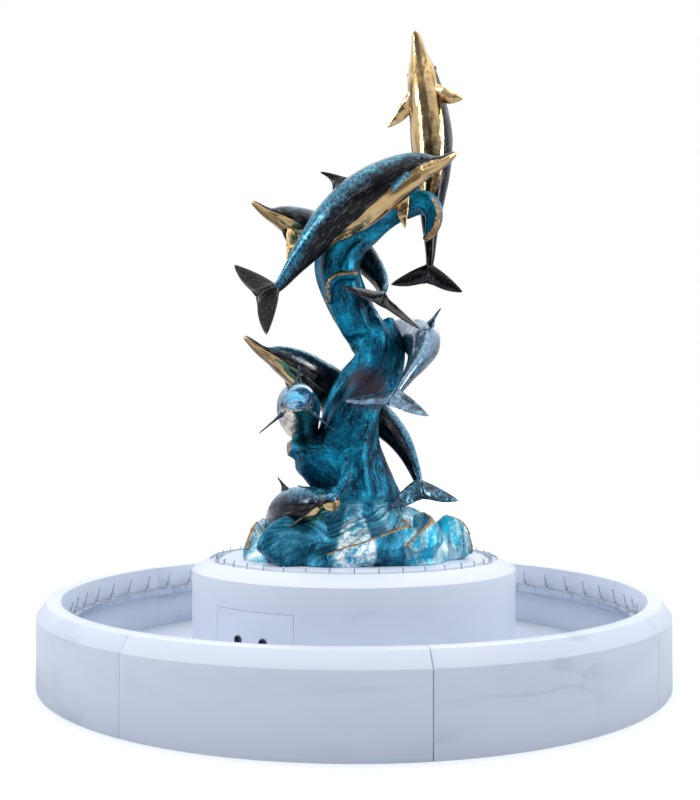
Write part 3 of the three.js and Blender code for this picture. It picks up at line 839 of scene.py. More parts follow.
    def build(self) -> Material:
        """Makes the bronze from the painted marks gold, which is above 0 on bare metal, back and lie.

        Returns:
            The material.
        """
        material, tree, shader, place = self.start()
        gold, back = (add(tree, "Attribute", attribute_name=name).outputs["Fac"] for name in ("gold", "back"))
        lie = add(tree, "Attribute", attribute_name="lie").outputs["Vector"]
        blots = add(
            tree, "TexNoise", {"Vector": place, "Scale": 1 / self.blot_size, "Detail": 5.0, "Roughness": 0.62}
        ).outputs["Fac"]
        waver = add(tree, "MapRange", {"Value": blots, "To Min": -0.07, "To Max": 0.07}).outputs[0]
        edge = add(tree, "Math", {0: gold, 1: waver}, operation="ADD").outputs[0]
        bare = add(
            tree, "MapRange", {"Value": edge, "From Min": -0.012, "From Max": 0.022},
            interpolation_type="SMOOTHSTEP",
        ).outputs[0]
        patina = self.patina(tree, back, place, lie, blots)
        metal = self.metal(tree, back, lie, blots)
        colour = add(tree, "Mix", {0: bare, 6: patina, 7: metal}, data_type="RGBA").outputs[2]
        shine = add(tree, "MapRange", {"Value": bare, "To Min": self.metallic, "To Max": 1.0}).outputs[0]
        rough = add(tree, "MapRange", {"Value": bare, "To Min": self.roughness, "To Max": 0.15}).outputs[0]
        dents = add(
            tree, "TexNoise", {"Vector": place, "Scale": 1 / self.dent_size, "Detail": 2.0}
        ).outputs["Fac"]
        ripples = add(
            tree, "TexNoise", {"Vector": lie, "Scale": 1 / (5 * self.hair_size), "Detail": 3.0}
        ).outputs["Fac"]
        relief = add(tree, "Math", {0: ripples, 1: 0.7, 2: dents}, operation="MULTIPLY_ADD").outputs[0]
        bump = add(tree, "Bump", {"Height": relief, "Strength": 0.7, "Distance": 0.011}).outputs[0]
        parts = {"Base Color": colour, "Metallic": shine, "Roughness": rough, "Normal": bump}
        self.wire(tree, shader, parts)
        return material


@dataclass(frozen=True)
class WaterPatina(Finish):
    """Cast bronze water, brushed with copper nitrate while hot and lacquered: teal streaks along the flow.

    The crests are rubbed back to bare, lumpy metal. On the foot, painted sunlight runs from pale salt colours
    to white, and painted shade keeps the deep teal.
    """

    deep: str = "#00263a"
    teal: str = "#016b8a"
    light: str = "#11aacd"
    hair: str = "#4fb2d2"
    salt: str = "#2c93b2"
    pale: str = "#a3ccd8"
    sunlit_foam: str = "#f6fafb"
    umber: str = "#3d2e33"
    bare: str = "#5c4027"
    bare_pale: str = "#b8966a"
    streak_size: float = 0.045
    hair_size: float = 0.011
    mottle_size: float = 0.17
    speck_size: float = 0.02
    clump_size: float = 0.05

    def build(self) -> Material:
        """Makes the water from the painted marks flow, bare, pale, froth and umber; pale and froth are
        painted sunlight and shade.

        Returns:
            The material.
        """
        material, tree, shader, place = self.start()
        flow = add(tree, "Attribute", attribute_name="flow").outputs["Vector"]
        marks = {
            name: add(tree, "Attribute", attribute_name=name).outputs["Fac"]
            for name in ("bare", "pale", "sunlit_froth", "umber")
        }
        streaks, hairs = (
            add(tree, "TexNoise", {"Vector": flow, "Scale": 1 / size, "Detail": detail, "Roughness": 0.65})
            .outputs["Fac"]
            for size, detail in ((self.streak_size, 5.0), (self.hair_size, 2.0))
        )
        mottle, specks = (
            add(tree, "TexNoise", {"Vector": place, "Scale": 1 / size, "Detail": 4.0}).outputs["Fac"]
            for size in (self.mottle_size, self.speck_size)
        )
        both = add(tree, "Math", {0: streaks, 1: mottle}, operation="ADD").outputs[0]
        tone = add(tree, "Math", {0: specks, 1: 0.4, 2: both}, operation="MULTIPLY_ADD").outputs[0]
        spread = add(tree, "MapRange", {"Value": tone, "From Min": 1.02, "From Max": 1.6}).outputs[0]
        lines = add(
            tree, "MapRange", {"Value": hairs, "From Min": 0.56, "From Max": 0.68, "To Max": 0.4}
        ).outputs[0]
        water = add(tree, "ValToRGB", {0: spread}, ((0.0, self.deep), (1.0, self.light), (0.5, self.teal)))
        haired = add(tree, "Mix", {0: lines, 6: water.outputs[0], 7: self.hair}, data_type="RGBA").outputs[2]
        clumps = add(
            tree, "TexNoise", {"Vector": place, "Scale": 1 / self.clump_size, "Detail": 5.0, "Roughness": 0.7}
        ).outputs["Fac"]
        flecks = add(
            tree,
            "MapRange",
            {"Value": clumps, "From Min": 0.4, "From Max": 0.6, "To Min": -0.18, "To Max": 0.7},
        ).outputs[0]
        # Painted sunlight on the foot: where its sunlit marks are high the colour runs from pale salts to
        # white, elsewhere painted shade keeps the streaked teal
        sunlit_frothy = add(tree, "Math", {0: marks["sunlit_froth"], 1: flecks, 2: spread}, operation="MULTIPLY_ADD")
        salts = add(
            tree, "ValToRGB", {0: sunlit_frothy.outputs[0]},
            ((0.0, self.light), (1.0, self.sunlit_foam), (0.16, self.salt), (0.5, self.pale)),
        ).outputs[0]
        first = add(tree, "Mix", {0: marks["pale"], 6: haired, 7: salts}, data_type="RGBA").outputs[2]
        browned = add(tree, "Math", {0: marks["umber"], 1: streaks}, operation="MULTIPLY").outputs[0]
        brown = add(
            tree, "MapRange", {"Value": browned, "From Min": 0.16, "From Max": 0.36, "To Max": 0.9}
        ).outputs[0]
        second = add(tree, "Mix", {0: brown, 6: first, 7: self.umber}, data_type="RGBA").outputs[2]
        rubbed = add(tree, "Math", {0: specks, 1: mottle}, operation="ADD").outputs[0]
        rub = add(tree, "Math", {0: rubbed, 1: marks["bare"]}, operation="MULTIPLY").outputs[0]
        bare = add(
            tree, "MapRange", {"Value": rub, "From Min": 0.42, "From Max": 0.6},
            interpolation_type="SMOOTHSTEP",
        ).outputs[0]
        metal = add(tree, "MapRange", {"Value": specks, "From Min": 0.35, "From Max": 0.65}).outputs[0]
        tan = add(tree, "Mix", {0: metal, 6: self.bare, 7: self.bare_pale}, data_type="RGBA").outputs[2]
        colour = add(tree, "Mix", {0: bare, 6: second, 7: tan}, data_type="RGBA").outputs[2]
        shine = add(tree, "MapRange", {"Value": bare, "To Min": self.metallic, "To Max": 0.8}).outputs[0]
        rough = add(
            tree,
            "MapRange",
            {"Value": specks, "To Min": self.roughness - 0.1, "To Max": self.roughness + 0.2},
        ).outputs[0]
        ridges = add(tree, "Math", {0: streaks, 1: 2.0, 2: specks}, operation="MULTIPLY_ADD").outputs[0]
        relief = add(tree, "Math", {0: hairs, 1: 0.8, 2: ridges}, operation="MULTIPLY_ADD").outputs[0]
        bump = add(tree, "Bump", {"Height": relief, "Strength": 0.6, "Distance": 0.006}).outputs[0]
        parts = {"Base Color": colour, "Metallic": shine, "Roughness": rough, "Normal": bump}
        self.wire(tree, shader, parts)
        return material


@dataclass(frozen=True)
class MattPlaster(Finish):
    """A studio floor: near white to the camera, dimmer to bounced light, so that walls keep their shade."""

    body: str = "#fbfbfb"
    stain: str = "#f8f8f8"
    bounced: str = "#bec1c6"
    stain_size: float = 2.0
    glow: float = 0.04

    def build(self) -> Material:
        """Makes the plaster, with broad faint stains and an even glow.

        Returns:
            The material.
        """
        material, tree, shader, place = self.start()
        stains = add(tree, "TexNoise", {"Vector": place, "Scale": 1 / self.stain_size, "Detail": 4.0})
        stained = add(
            tree, "Mix", {0: stains.outputs["Fac"], 6: self.body, 7: self.stain},
            data_type="RGBA",
        ).outputs[2]
        seen = add(tree, "LightPath").outputs["Is Camera Ray"]
        colour = add(tree, "Mix", {0: seen, 6: self.bounced, 7: stained}, data_type="RGBA").outputs[2]
        self.wire(tree, shader, {"Base Color": colour})
        shader.inputs["Emission Color"].default_value = linear("#ffffff")
        shader.inputs["Emission Strength"].default_value = self.glow
        return material


@dataclass(frozen=True)
class WetMetal(Finish):
    """Metal pipework that stands in spray: even colour with soft water stains."""

    body: str = "#8b93a5"
    stain: str = "#5d6678"
    stain_size: float = 0.06
    brush_size: float = 0.003

    def build(self) -> Material:
        """Makes the metal, with stains in its colour and fine lines across in its roughness and relief.

        Returns:
            The material.
        """
        material, tree, shader, place = self.start()
        stains = add(tree, "TexNoise", {"Vector": place, "Scale": 1 / self.stain_size, "Detail": 4.0})
        dark = add(
            tree, "MapRange", {"Value": stains.outputs["Fac"], "From Min": 0.48, "From Max": 0.7}
        ).outputs[0]
        laid = add(tree, "Mapping", {"Vector": place, "Scale": (0.15, 0.15, 1.0)}).outputs[0]
        lines = add(tree, "TexNoise", {"Vector": laid, "Scale": 1 / self.brush_size, "Detail": 2.0})
        colour = add(tree, "Mix", {0: dark, 6: self.body, 7: self.stain}, data_type="RGBA").outputs[2]
        rough = add(
            tree,
            "MapRange",
            {"Value": lines.outputs["Fac"], "To Min": self.roughness - 0.08, "To Max": self.roughness + 0.12},
        ).outputs[0]
        bump = add(tree, "Bump", {"Height": lines.outputs["Fac"], "Strength": 0.2, "Distance": 0.0003})
        self.wire(tree, shader, {"Base Color": colour, "Roughness": rough, "Normal": bump.outputs[0]})
        return material


# Trowelled flat and left matt: no gloss, so the floor stays an even pale field
FLOOR_PLASTER = MattPlaster("floor_plaster_trowelled", 0.0, 0.9)
# Honed, not polished: broad soft reflections on the drum and rim, and veins that stay faint
MARBLE = HonedMarble("marble_honed", 0.0, 0.34, ior=1.49)
# Brushed round the tube, so its highlights are long and soft
STEEL = WetMetal("stainless_steel_brushed", 1.0, 0.3, body="#c2c8d3", stain="#a9b1bf")
# Dark paint over steel pipe: a dull blue-black with chalky water stains
PAINTED_PIPE = WetMetal("steel_pipe_painted", 0.0, 0.45, body="#2c3548", stain="#3f495c", coat=0.3)
# Brushed salts under lacquer: matt colour below, a wet gleam on top
WATER = WaterPatina("bronze_water_patina_brushed", 0.86, 0.32, coat=0.05, coat_roughness=0.16)


class Patina(Enum):
    """The dolphins' patinas. All are the same bronze, and differ in how much blue salt was brushed on and in
    how far painted shade on the flank and painted light on the back reach.
    """

    NIGHT = PatinatedBronze(
        "bronze_night_patina_polished", 0.75, 0.2, coat=0.4, coat_roughness=0.08, turn_low=0.2,
        turn_high=1.05, back="#155d80", net="#54bdd4", net_strength=0.6,
    )
    BLUE = PatinatedBronze(
        "bronze_blue_patina_polished", 0.7, 0.3, coat=0.18, coat_roughness=0.16, net_strength=0.5,
        back="#0d4a64", back_light="#2a7f9c",
    )
    STEEL_BLUE = PatinatedBronze(
        "bronze_steel_blue_patina_polished", 0.85, 0.16, coat=0.4, coat_roughness=0.06, turn_low=-0.4,
        turn_high=0.9, flank="#0a1f33", middle="#174a6c", back="#2a7ba8", back_light="#8fc4dd",
        bare="#c2a573", bare_pale="#f1e6cf", net_strength=0.5,
    )
    SILVER = PatinatedBronze(
        "bronze_silver_patina_polished", 0.85, 0.2, coat=0.35, coat_roughness=0.1, spread=1.0,
        flank="#0c2036", middle="#30495f", back="#65778b", back_light="#94a4b4", net="#58a0c0",
        flank_net="#7f93a8", net_strength=0.5, turn_low=-0.7, turn_high=1.1, bare="#c8b48c",
        bare_pale="#f3ead6",
    )


AnyFinish = HonedMarble | PatinatedBronze | WaterPatina | MattPlaster | WetMetal


class FinishShelf:
    """Makes each finish once and hands out its material."""

    def __init__(self) -> None:
        """Starts with no materials."""
        self.made: dict[str, Material] = {}

    def take(self, finish: AnyFinish) -> Material:
        """Hands out the finish's material, made on first use.

        Args:
            finish: the finish.

        Returns:
            Its material.
        """
        if finish.name not in self.made:
            self.made[finish.name] = finish.build()
        return self.made[finish.name]

    def dress(self, piece: Piece, *finishes: AnyFinish) -> None:
        """Gives a piece its finishes, in the order of its shells' finish numbers.

        Args:
            piece: the piece.
            finishes: its finishes.
        """
        piece.data.materials.clear()
        for finish in finishes:
            piece.data.materials.append(self.take(finish))


def set_down(piece: Piece, slot: Slot, *nodes: str) -> None:
    """Makes a piece part of the object: it rides on the fixed body and stands for the named CAD nodes.

    Args:
        piece: the finished piece.
        slot: the record's material slot; not used.
        nodes: CAD nodes that it replaces.
    """
    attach(piece, ROOT)
    if nodes:
        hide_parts(*nodes)
    triangles = len(piece.data.loops) - 2 * len(piece.data.polygons)
    LOG.info("%s: %d corners, %d triangles", piece.name, len(piece.data.vertices), triangles)


# Marble


@dataclass
class Basin:
    """The round basin wall of eight curved marble panels, and its floor."""

    shelf: FinishShelf
    floor: Piece
    radius: float
    height: float = 0.595
    wall: float = 0.170
    rim_width: float = 0.070
    rim_drop: float = 0.095
    panels: int = 8
    joint: float = 0.006
    tight_joint: float = 0.002
    seam: float = 10.1
    ease: float = 0.0025
    steps: int = 40
    first_slab: float = 1.3
    slab_step: float = 3.7

    def corners(self) -> Profile:
        """The wall's profile: an upright outer face, a sloping rim and a flat top.

        Returns:
            Radius and height of each corner.
        """
        inside = self.radius - self.wall
        return [
            (inside, 0.0), (self.radius, 0.0), (self.radius, self.height - self.rim_drop),
            (self.radius - self.rim_width, self.height), (inside, self.height),
        ]

    def build(self) -> None:
        """Builds the eight panels, with an open joint at the front and tight ones, and dresses the floor."""
        half, tight = (math.degrees(gap / 2 / self.radius) for gap in (self.joint, self.tight_joint))
        for index in range(self.panels):
            start = self.seam + index * 360 / self.panels + (half if index == 0 else tight)
            end = self.seam + (index + 1) * 360 / self.panels - (half if index == self.panels - 1 else tight)
            shell = curved_slab(self.corners(), start, end, self.ease, self.steps)
            shell.marks["slab"] = np.full(len(shell.points), self.slab_step * index + self.first_slab)
            panel = mesh_object(f"basin_panel_{index + 1}", [shell], sharp=STONE_SHARP)
            self.shelf.dress(panel, MARBLE)
            set_down(panel, Slot.MARBLE, f"basin_wall_{index + 1}")
        self.shelf.dress(self.floor, MARBLE)


@dataclass
class Pedestal:
    """The marble drum with its gutter, its access panel and the two outlets through the panel."""

    shelf: FinishShelf
    radius: float = 1.2695
    bottom: float = 0.0503
    height: float = 0.850
    bevel_width: float = 0.125
    bevel_drop: float = 0.075
    lip: float = 0.012
    gutter_width: float = 0.092
    gutter_depth: float = 0.022
    ease: float = 0.004
    steps: int = 180
    hatch: tuple[float, float] = (-49.8, -18.6)
    hatch_z: tuple[float, float] = (0.120, 0.585)
    hatch_thickness: float = 0.030
    hatch_joint: float = 0.0022
    hatch_gap: float = 0.0003
    hatch_ease: float = 0.002
    hatch_steps: int = 40
    recess_ease: float = 0.0008
    cut_reach: float = 0.05
    outlets: tuple[float, float] = (-39.1, -29.2)
    outlet_z: float = 0.380
    outlet_radius: float = 0.030
    outlet_bore: float = 0.023
    outlet_proud: float = 0.012
    outlet_sides: int = 40
    drill_reach: float = 0.1
    clearance: float = 0.001
    drum_slab: float = 41.5
    door_slab: float = 44.1

    def drum(self) -> Piece:
        """The drum's profile, turned, with the recess for the access panel cut out of its face.

        Returns:
            The drum, dressed.
        """
        rim = self.radius - self.bevel_width
        gutter = rim - self.lip
        inner = gutter - self.gutter_width
        low = self.height - self.gutter_depth
        profile = [
            (0.0, self.bottom), (self.radius, self.bottom), (self.radius, self.height - self.bevel_drop),
            (rim, self.height), (gutter, self.height), (gutter, low), (inner, low), (inner, self.height),
            (0.0, self.height),
        ]
        drum = mesh_object("pedestal_drum", [turned_solid(profile, self.ease, self.steps)], STONE_SHARP)
        back, front = self.radius - self.hatch_thickness, self.radius + self.cut_reach
        low, high = self.hatch_z
        block = [(back, low), (front, low), (front, high), (back, high)]
        recess = mesh_object("recess", [curved_slab(block, *self.hatch, self.recess_ease, self.hatch_steps)])
        carve(drum, [recess], STONE_SHARP)
        paint(drum.data, "slab", np.full(len(drum.data.vertices), self.drum_slab))
        self.shelf.dress(drum, MARBLE)
        return drum

    def door(self) -> Piece:
        """The access panel, smaller than its recess by the joint, with a hole for each outlet.

        Returns:
            The panel, dressed.
        """
        turn = math.degrees(self.hatch_joint / self.radius)
        back = self.radius - self.hatch_thickness + self.hatch_gap
        low, high = self.hatch_z[0] + self.hatch_joint, self.hatch_z[1] - self.hatch_joint
        block = [(back, low), (self.radius, low), (self.radius, high), (back, high)]
        start, end = self.hatch[0] + turn, self.hatch[1] - turn
        slab = curved_slab(block, start, end, self.hatch_ease, self.hatch_steps)
        door = mesh_object("access_panel", [slab], STONE_SHARP)
        hole = self.outlet_radius + self.clearance
        bar = stack([(hole, -self.drill_reach), (hole, self.drill_reach)], self.outlet_sides)
        drills = [mesh_object(f"drill_{k}", [self.aim(bar, at)]) for k, at in enumerate(self.outlets)]
        carve(door, drills, STONE_SHARP)
        paint(door.data, "slab", np.full(len(door.data.vertices), self.door_slab))
        self.shelf.dress(door, MARBLE)
        return door

    def aim(self, part: Shell, bearing: float) -> Shell:
        """Lays a turned part's axis along a bearing, with its origin on the drum's face.

        A corner (x, y, z) goes to x along the tangent, y upwards and z outwards.

        Args:
            part: the turned part.
            bearing: bearing in degrees.

        Returns:
            The placed shell.
        """
        angle = math.radians(bearing)
        tangent = np.array([math.cos(angle), math.sin(angle), 0])
        outward = np.array([math.sin(angle), -math.cos(angle), 0])
        x, y, out = part.points.T
        points = x[:, None] * tangent + (out + self.radius)[:, None] * outward
        points[:, 2] += y + self.outlet_z
        return Shell(points, part.faces, finish=part.finish).outward()

    def outlet(self, index: int) -> Piece:
        """A short pipe with a rolled lip: its outer wall, its mouth and its bore as one turned profile.

        Args:
            index: which of the outlets.

        Returns:
            The pipe, dressed.
        """
        back = -self.hatch_thickness + self.hatch_gap
        radius, bore, front = self.outlet_radius, self.outlet_bore, self.outlet_proud
        rows = [
            (radius * 0.97, back), (radius, back + 0.002), (radius, front - 0.003),
            (radius * 0.985, front - 0.001), (radius - 0.0025, front), (bore + 0.0015, front),
            (bore, front - 0.0015), (bore, back + 0.008), (bore * 0.96, back + 0.007),
        ]
        pipe = self.aim(stack(rows, self.outlet_sides), self.outlets[index])
        piece = mesh_object(f"outlet_pipe_{index + 1}", [pipe], STONE_SHARP)
        self.shelf.dress(piece, PAINTED_PIPE)
        return piece

    def build(self) -> None:
        """Builds the drum, its access panel and the outlets."""
        set_down(self.drum(), Slot.MARBLE, "pedestal")
        set_down(self.door(), Slot.MARBLE, "pedestal_access_panel")
        for index in range(len(self.outlets)):
            set_down(self.outlet(index), Slot.OUTLET, f"pedestal_outlet_{index + 1}")


# Jets


@dataclass
class JetRings:
    """The ring of jets inside the basin wall on its channel, and the ring in the pedestal's gutter."""

    shelf: FinishShelf
    wall_inside: float
    channel_width: float = 0.078
    channel_height: float = 0.059
    channel_top: float = 0.410
    channel_ease: float = 0.002
    channel_steps: int = 240
    ledge: float = 0.010
    fascia: float = 0.012
    clearance: float = 0.0005
    basin_jets: int = 53
    basin_turn: float = 1.26
    basin_jet_height: float = 0.141
    lean: float = 14.0
    gutter_jets: int = 40
    gutter_radius: float = 1.087
    gutter_z: float = 0.8283
    pipe: float = 0.014
    pipe_sides: int = 12
    pipe_steps: int = 200
    gutter_jet_height: float = 0.044
    sides: int = 10

    def basin_ring(self) -> Piece:
        """The channel with its overhanging top ledge, and a winged valve with a thin tube on each jet.

        Returns:
            The ring, dressed.
        """
        outer = self.wall_inside - self.clearance
        inner = outer - self.channel_width
        top, bottom = self.channel_top, self.channel_top - self.channel_height
        under, face = top - self.ledge, inner + self.fascia
        profile = [
            (inner, top), (inner, under), (face, under), (face, bottom), (outer, bottom), (outer, top),
        ]
        channel = turned_ring(profile, self.channel_ease, self.channel_steps)
        h = self.basin_jet_height
        body = stack(
            [
                (0.017, -0.002), (0.017, 0.006), (0.013, 0.009), (0.0125, 0.03), (0.015, 0.033),
                (0.015, 0.05), (0.010, 0.058), (0.0068, 0.066), (0.0062, h * 0.9), (0.0072, h * 0.92),
                (0.0068, h - 0.001), (0.004, h),
            ],
            self.sides,
        )
        foot = stack([(0.022, -0.002), (0.022, 0.004), (0.018, 0.0075)], self.sides, finish=1)
        wings = self.wing(width=0.041, height=0.020, depth=0.009, z=0.040)
        bearings = 180 - self.basin_turn + np.arange(self.basin_jets) * 360 / self.basin_jets
        radius = (inner + outer) / 2
        rings = [ring_of_copies(part, radius, top, self.lean, bearings) for part in (body, foot, wings)]
        piece = mesh_object("basin_jet_ring", [channel, *rings], METAL_SHARP)
        self.shelf.dress(piece, STEEL, PAINTED_PIPE)
        return piece

    @staticmethod
    def wing(width: float, height: float, depth: float, z: float) -> Shell:
        """A valve's wing handle: a flat bar across the jet, whose ends are rounded by a squashed circle.

        Args:
            width: from end to end.
            height: its height.
            depth: its thickness.
            z: height of its middle.

        Returns:
            The closed shell.
        """
        angle = np.arange(12) * TAU / 12
        across = np.sign(np.cos(angle)) * np.abs(np.cos(angle)) ** 0.6
        shape = np.stack([across * width / 2, np.sin(angle) * height / 2], axis=-1)
        rings = np.array([[(x, y, z + up) for x, up in shape] for y in (-depth / 2, depth / 2)])
        return skin(rings)

    def gutter_ring(self) -> Piece:
        """The round pipe in the gutter, with a nut and a short tube on each jet.

        Returns:
            The ring, dressed.
        """
        radius = self.pipe / 2
        turn = np.arange(self.pipe_sides) * TAU / self.pipe_sides
        bearings = np.arange(self.pipe_steps) * 360 / self.pipe_steps
        reach = self.gutter_radius + radius * np.cos(turn)[None]
        level = self.gutter_z + radius + radius * np.sin(turn)[None]
        pipe = skin(around(reach, bearings[:, None], level), loop=True)
        h = self.gutter_jet_height
        tube = stack(
            [(0.0085, -0.004), (0.0085, 0.006), (0.0055, 0.009), (0.005, h - 0.008), (0.006, h - 0.006),
             (0.0055, h - 0.0005), (0.003, h)],
            self.sides,
        )
        bearings = np.arange(self.gutter_jets) * 360 / self.gutter_jets
        foot = self.gutter_z + self.pipe - 0.002
        copies = ring_of_copies(tube, self.gutter_radius, foot, self.lean, bearings)
        piece = mesh_object("gutter_jet_ring", [pipe, copies], METAL_SHARP)
        self.shelf.dress(piece, STEEL)
        return piece

    def build(self) -> None:
        """Builds both rings."""
        set_down(self.basin_ring(), Slot.STEEL, "basin_nozzle_ring")
        set_down(self.gutter_ring(), Slot.STEEL, "pedestal_nozzle_ring")


# Bronze

BRONZE_HEIGHT = 4.230
BRONZE_FOOT = 0.8503
SPREAD = 0.88


def bronze_points(shares: Sequence[Sequence[float]]) -> Array:
    """Shares of the bronze's height as points in metres: the first three columns, lifted to its foot."""
    rows = np.asarray(shares, float)[:, :3] * BRONZE_HEIGHT
    return rows + np.array([0, 0, BRONZE_FOOT])


# Share of length, then back, belly and half width as shares of it
BODY = (
    (0.0, 0.007, 0.009, 0.011), (0.03, 0.014, 0.015, 0.02), (0.09, 0.022, 0.028, 0.034),
    (0.13, 0.047, 0.038, 0.048), (0.18, 0.066, 0.056, 0.063), (0.27, 0.084, 0.08, 0.077),
    (0.4, 0.095, 0.1, 0.087), (0.52, 0.088, 0.094, 0.08), (0.66, 0.064, 0.064, 0.056),
    (0.8, 0.042, 0.038, 0.031), (0.92, 0.025, 0.021, 0.016), (1.0, 0.012, 0.01, 0.01),
)
# Where the snout's tip has rounded to its full width, as a share of length
SNOUT = 0.014
# How much slower the pattern runs along the body than across it
LIE_STRETCH = 0.16
# How far up the side bare metal reaches, from -1 under the belly to 1 on the back, along the body
BARE_LEVEL = (
    (0.0, 0.02), (0.04, -0.07), (0.09, -0.17), (0.15, -0.3), (0.22, -0.46), (0.35, -0.6), (0.5, -0.66),
    (0.62, -0.76), (0.72, -1.1), (0.9, -1.5), (1.0, -1.5),
)
# Height of the mouth line on the side, in the same measure
MOUTH_LEVEL = ((0.0, -0.08), (0.05, -0.2), (0.1, -0.36), (0.15, -0.52), (0.19, -0.52))


@dataclass(frozen=True)
class FinShape:
    """A fin, as shares of the dolphin's length.

    at is its place, sunk how deep its root is, hollow how far the trailing edge curves in and thick half
    its greatest thickness.
    """

    at: float
    sunk: float
    reach: float
    chord: float
    sweep: float
    hollow: float
    thick: float


DORSAL = FinShape(0.42, 0.03, 0.12, 0.1, 0.085, 0.022, 0.012)
FLIPPER = FinShape(0.225, 0.02, 0.17, 0.042, 0.05, -0.024, 0.009)
FLUKE = FinShape(0.93, 0.0, 0.155, 0.076, 0.1, -0.012, 0.011)
# Share of the root's chord by which the tip lies behind the sweep
FIN_TIP = 0.1


class FinDress(Enum):
    """How a flipper or a fluke is finished, as its marks gold and back."""

    GILT = (1.0, 0.0)
    DARK = (-1.0, -0.2)
    PALE = (-1.0, 0.62)


@dataclass(frozen=True)
class Dolphin:
    """One dolphin's pose and finish, as shares of the bronze's height, from snout to fluke notch.

    blunt is the least radius of a head whose beak doesn't show, as a share of length, and flipper_root is
    where a flipper leaves the chest, as shares of its half width and of its belly's depth.
    """

    name: str
    spine: tuple[Vec3, ...]
    back: tuple[Vec3, ...]
    flippers: tuple[Vec3, Vec3]
    girth: float
    patina: Patina = Patina.NIGHT
    fluke: float = 1.0
    flipper_at: float = FLIPPER.at
    dorsal_at: float = DORSAL.at
    shown: float = 1.0
    blunt: float = 0.0
    flipper_root: tuple[float, float] = (0.8, 0.5)
    dress: tuple[FinDress, FinDress] = (FinDress.DARK, FinDress.DARK)
    fluke_dress: FinDress = FinDress.DARK


DOLPHINS = (
    Dolphin(
        "summit",
        ((0.116, 0.014, 0.996), (0.133, 0.026, 0.903), (0.149, 0.037, 0.81), (0.151, 0.036, 0.72),
         (0.147, 0.028, 0.63), (0.146, 0.021, 0.565), (0.14, 0.02, 0.52)),
        ((0.3, 0.95, 0), (0.35, 0.93, 0), (0.3, 0.95, 0), (0.15, 0.95, 0.2)),
        ((0.8, -0.5, 0.3), (0.86, -0.05, 0.44)), 0.98, fluke=0.92, dress=(FinDress.GILT, FinDress.GILT),
    ),
    Dolphin(
        "crossing",
        ((0.184, -0.078, 0.733), (0.155, -0.08, 0.716), (0.108, -0.082, 0.7), (0.055, -0.084, 0.674),
         (0.0, -0.08, 0.639), (-0.055, -0.074, 0.594), (-0.1, -0.068, 0.54), (-0.138, -0.066, 0.493),
         (-0.165, -0.068, 0.481)),
        ((-0.58, 0.25, 0.78), (-0.58, 0.2, 0.78), (-0.6, -0.1, 0.7), (-0.3, -0.95, 0.3)),
        ((0.35, -0.9, 0.2), (0.6, -0.65, 0.45)), 1.1, Patina.BLUE, fluke=1.2,
        dress=(FinDress.GILT, FinDress.PALE),
    ),
    Dolphin(
        "high_left",
        ((-0.189, -0.03, 0.659), (-0.162, -0.018, 0.643), (-0.13, -0.004, 0.633), (-0.09, 0.02, 0.624),
         (-0.04, 0.062, 0.612), (0.005, 0.076, 0.591), (0.04, 0.055, 0.548), (0.054, 0.015, 0.508),
         (0.05, -0.034, 0.474)),
        ((0.4, 0.3, 0.86), (0.35, 0.4, 0.8), (0.75, 0.3, 0.6), (0.5, -0.3, 0.85)),
        ((0.15, -0.97, -0.25), (0.6, -0.6, 0.5)), 1.0, fluke=1.3, flipper_at=0.18, flipper_root=(0.3, 1.15),
        dress=(FinDress.GILT, FinDress.DARK),
    ),
    Dolphin(
        "diving_right",
        ((0.045, 0.151, 0.45), (0.075, 0.128, 0.446), (0.105, 0.085, 0.434), (0.125, 0.035, 0.416),
         (0.129, -0.02, 0.393), (0.118, -0.068, 0.363), (0.097, -0.106, 0.33), (0.077, -0.132, 0.3),
         (0.065, -0.15, 0.284)),
        ((0.4, 0.4, 0.8), (0.3, 0.1, 1), (0.5, -0.3, 0.8), (-0.2, -0.7, 0.7)),
        ((0.6, -0.6, 0.5), (0.6, -0.6, 0.5)), 1.0, Patina.SILVER, fluke=1.3, fluke_dress=FinDress.PALE,
    ),
    Dolphin(
        "low_left",
        ((-0.2, -0.061, 0.406), (-0.172, -0.05, 0.384), (-0.14, -0.03, 0.368), (-0.1, 0.005, 0.35),
         (-0.05, 0.05, 0.32), (0.0, 0.073, 0.291), (0.05, 0.066, 0.26), (0.09, 0.04, 0.215),
         (0.115, 0.01, 0.16), (0.128, -0.01, 0.11)),
        ((0.45, 0.25, 0.86), (0.4, 0.3, 0.85), (0.8, 0.1, 0.5), (0.35, -0.8, 0.25)),
        ((0.5, -0.45, 0.9), (0.6, -0.6, 0.6)), 0.9, fluke=0.92, fluke_dress=FinDress.PALE,
    ),
    Dolphin(
        "front",
        ((-0.099, -0.236, 0.263), (-0.097, -0.195, 0.27), (-0.097, -0.147, 0.277), (-0.099, -0.095, 0.276),
         (-0.099, -0.043, 0.26), (-0.09, 0.01, 0.232), (-0.067, 0.062, 0.203), (-0.031, 0.112, 0.184)),
        ((0, 0.1, 1), (0, 0.1, 1), (0, 0.2, 1), (0.2, 0.3, 1)),
        ((0.9, -0.75, 0.1), (0.9, -0.75, 0.1)), 1.16, Patina.STEEL_BLUE, dorsal_at=0.33,
    ),
    Dolphin(
        "surfacing",
        ((-0.034, -0.205, 0.112), (-0.053, -0.17, 0.108), (-0.083, -0.138, 0.101), (-0.115, -0.095, 0.09),
         (-0.142, -0.045, 0.072), (-0.155, 0.0, 0.05)),
        ((-0.1, -0.2, 1), (-0.1, -0.2, 1), (-0.2, -0.1, 1), (-0.3, 0, 1)),
        ((0.7, -0.5, 0.6), (0.7, -0.5, 0.6)), 1.4, shown=0.88, blunt=0.042,
    ),
)


@dataclass
class SpineFrame:
    """Points on a dolphin's spine, each with its directions to the tail, the back and the side."""

    point: Array
    tail: Array
    up: Array
    side: Array


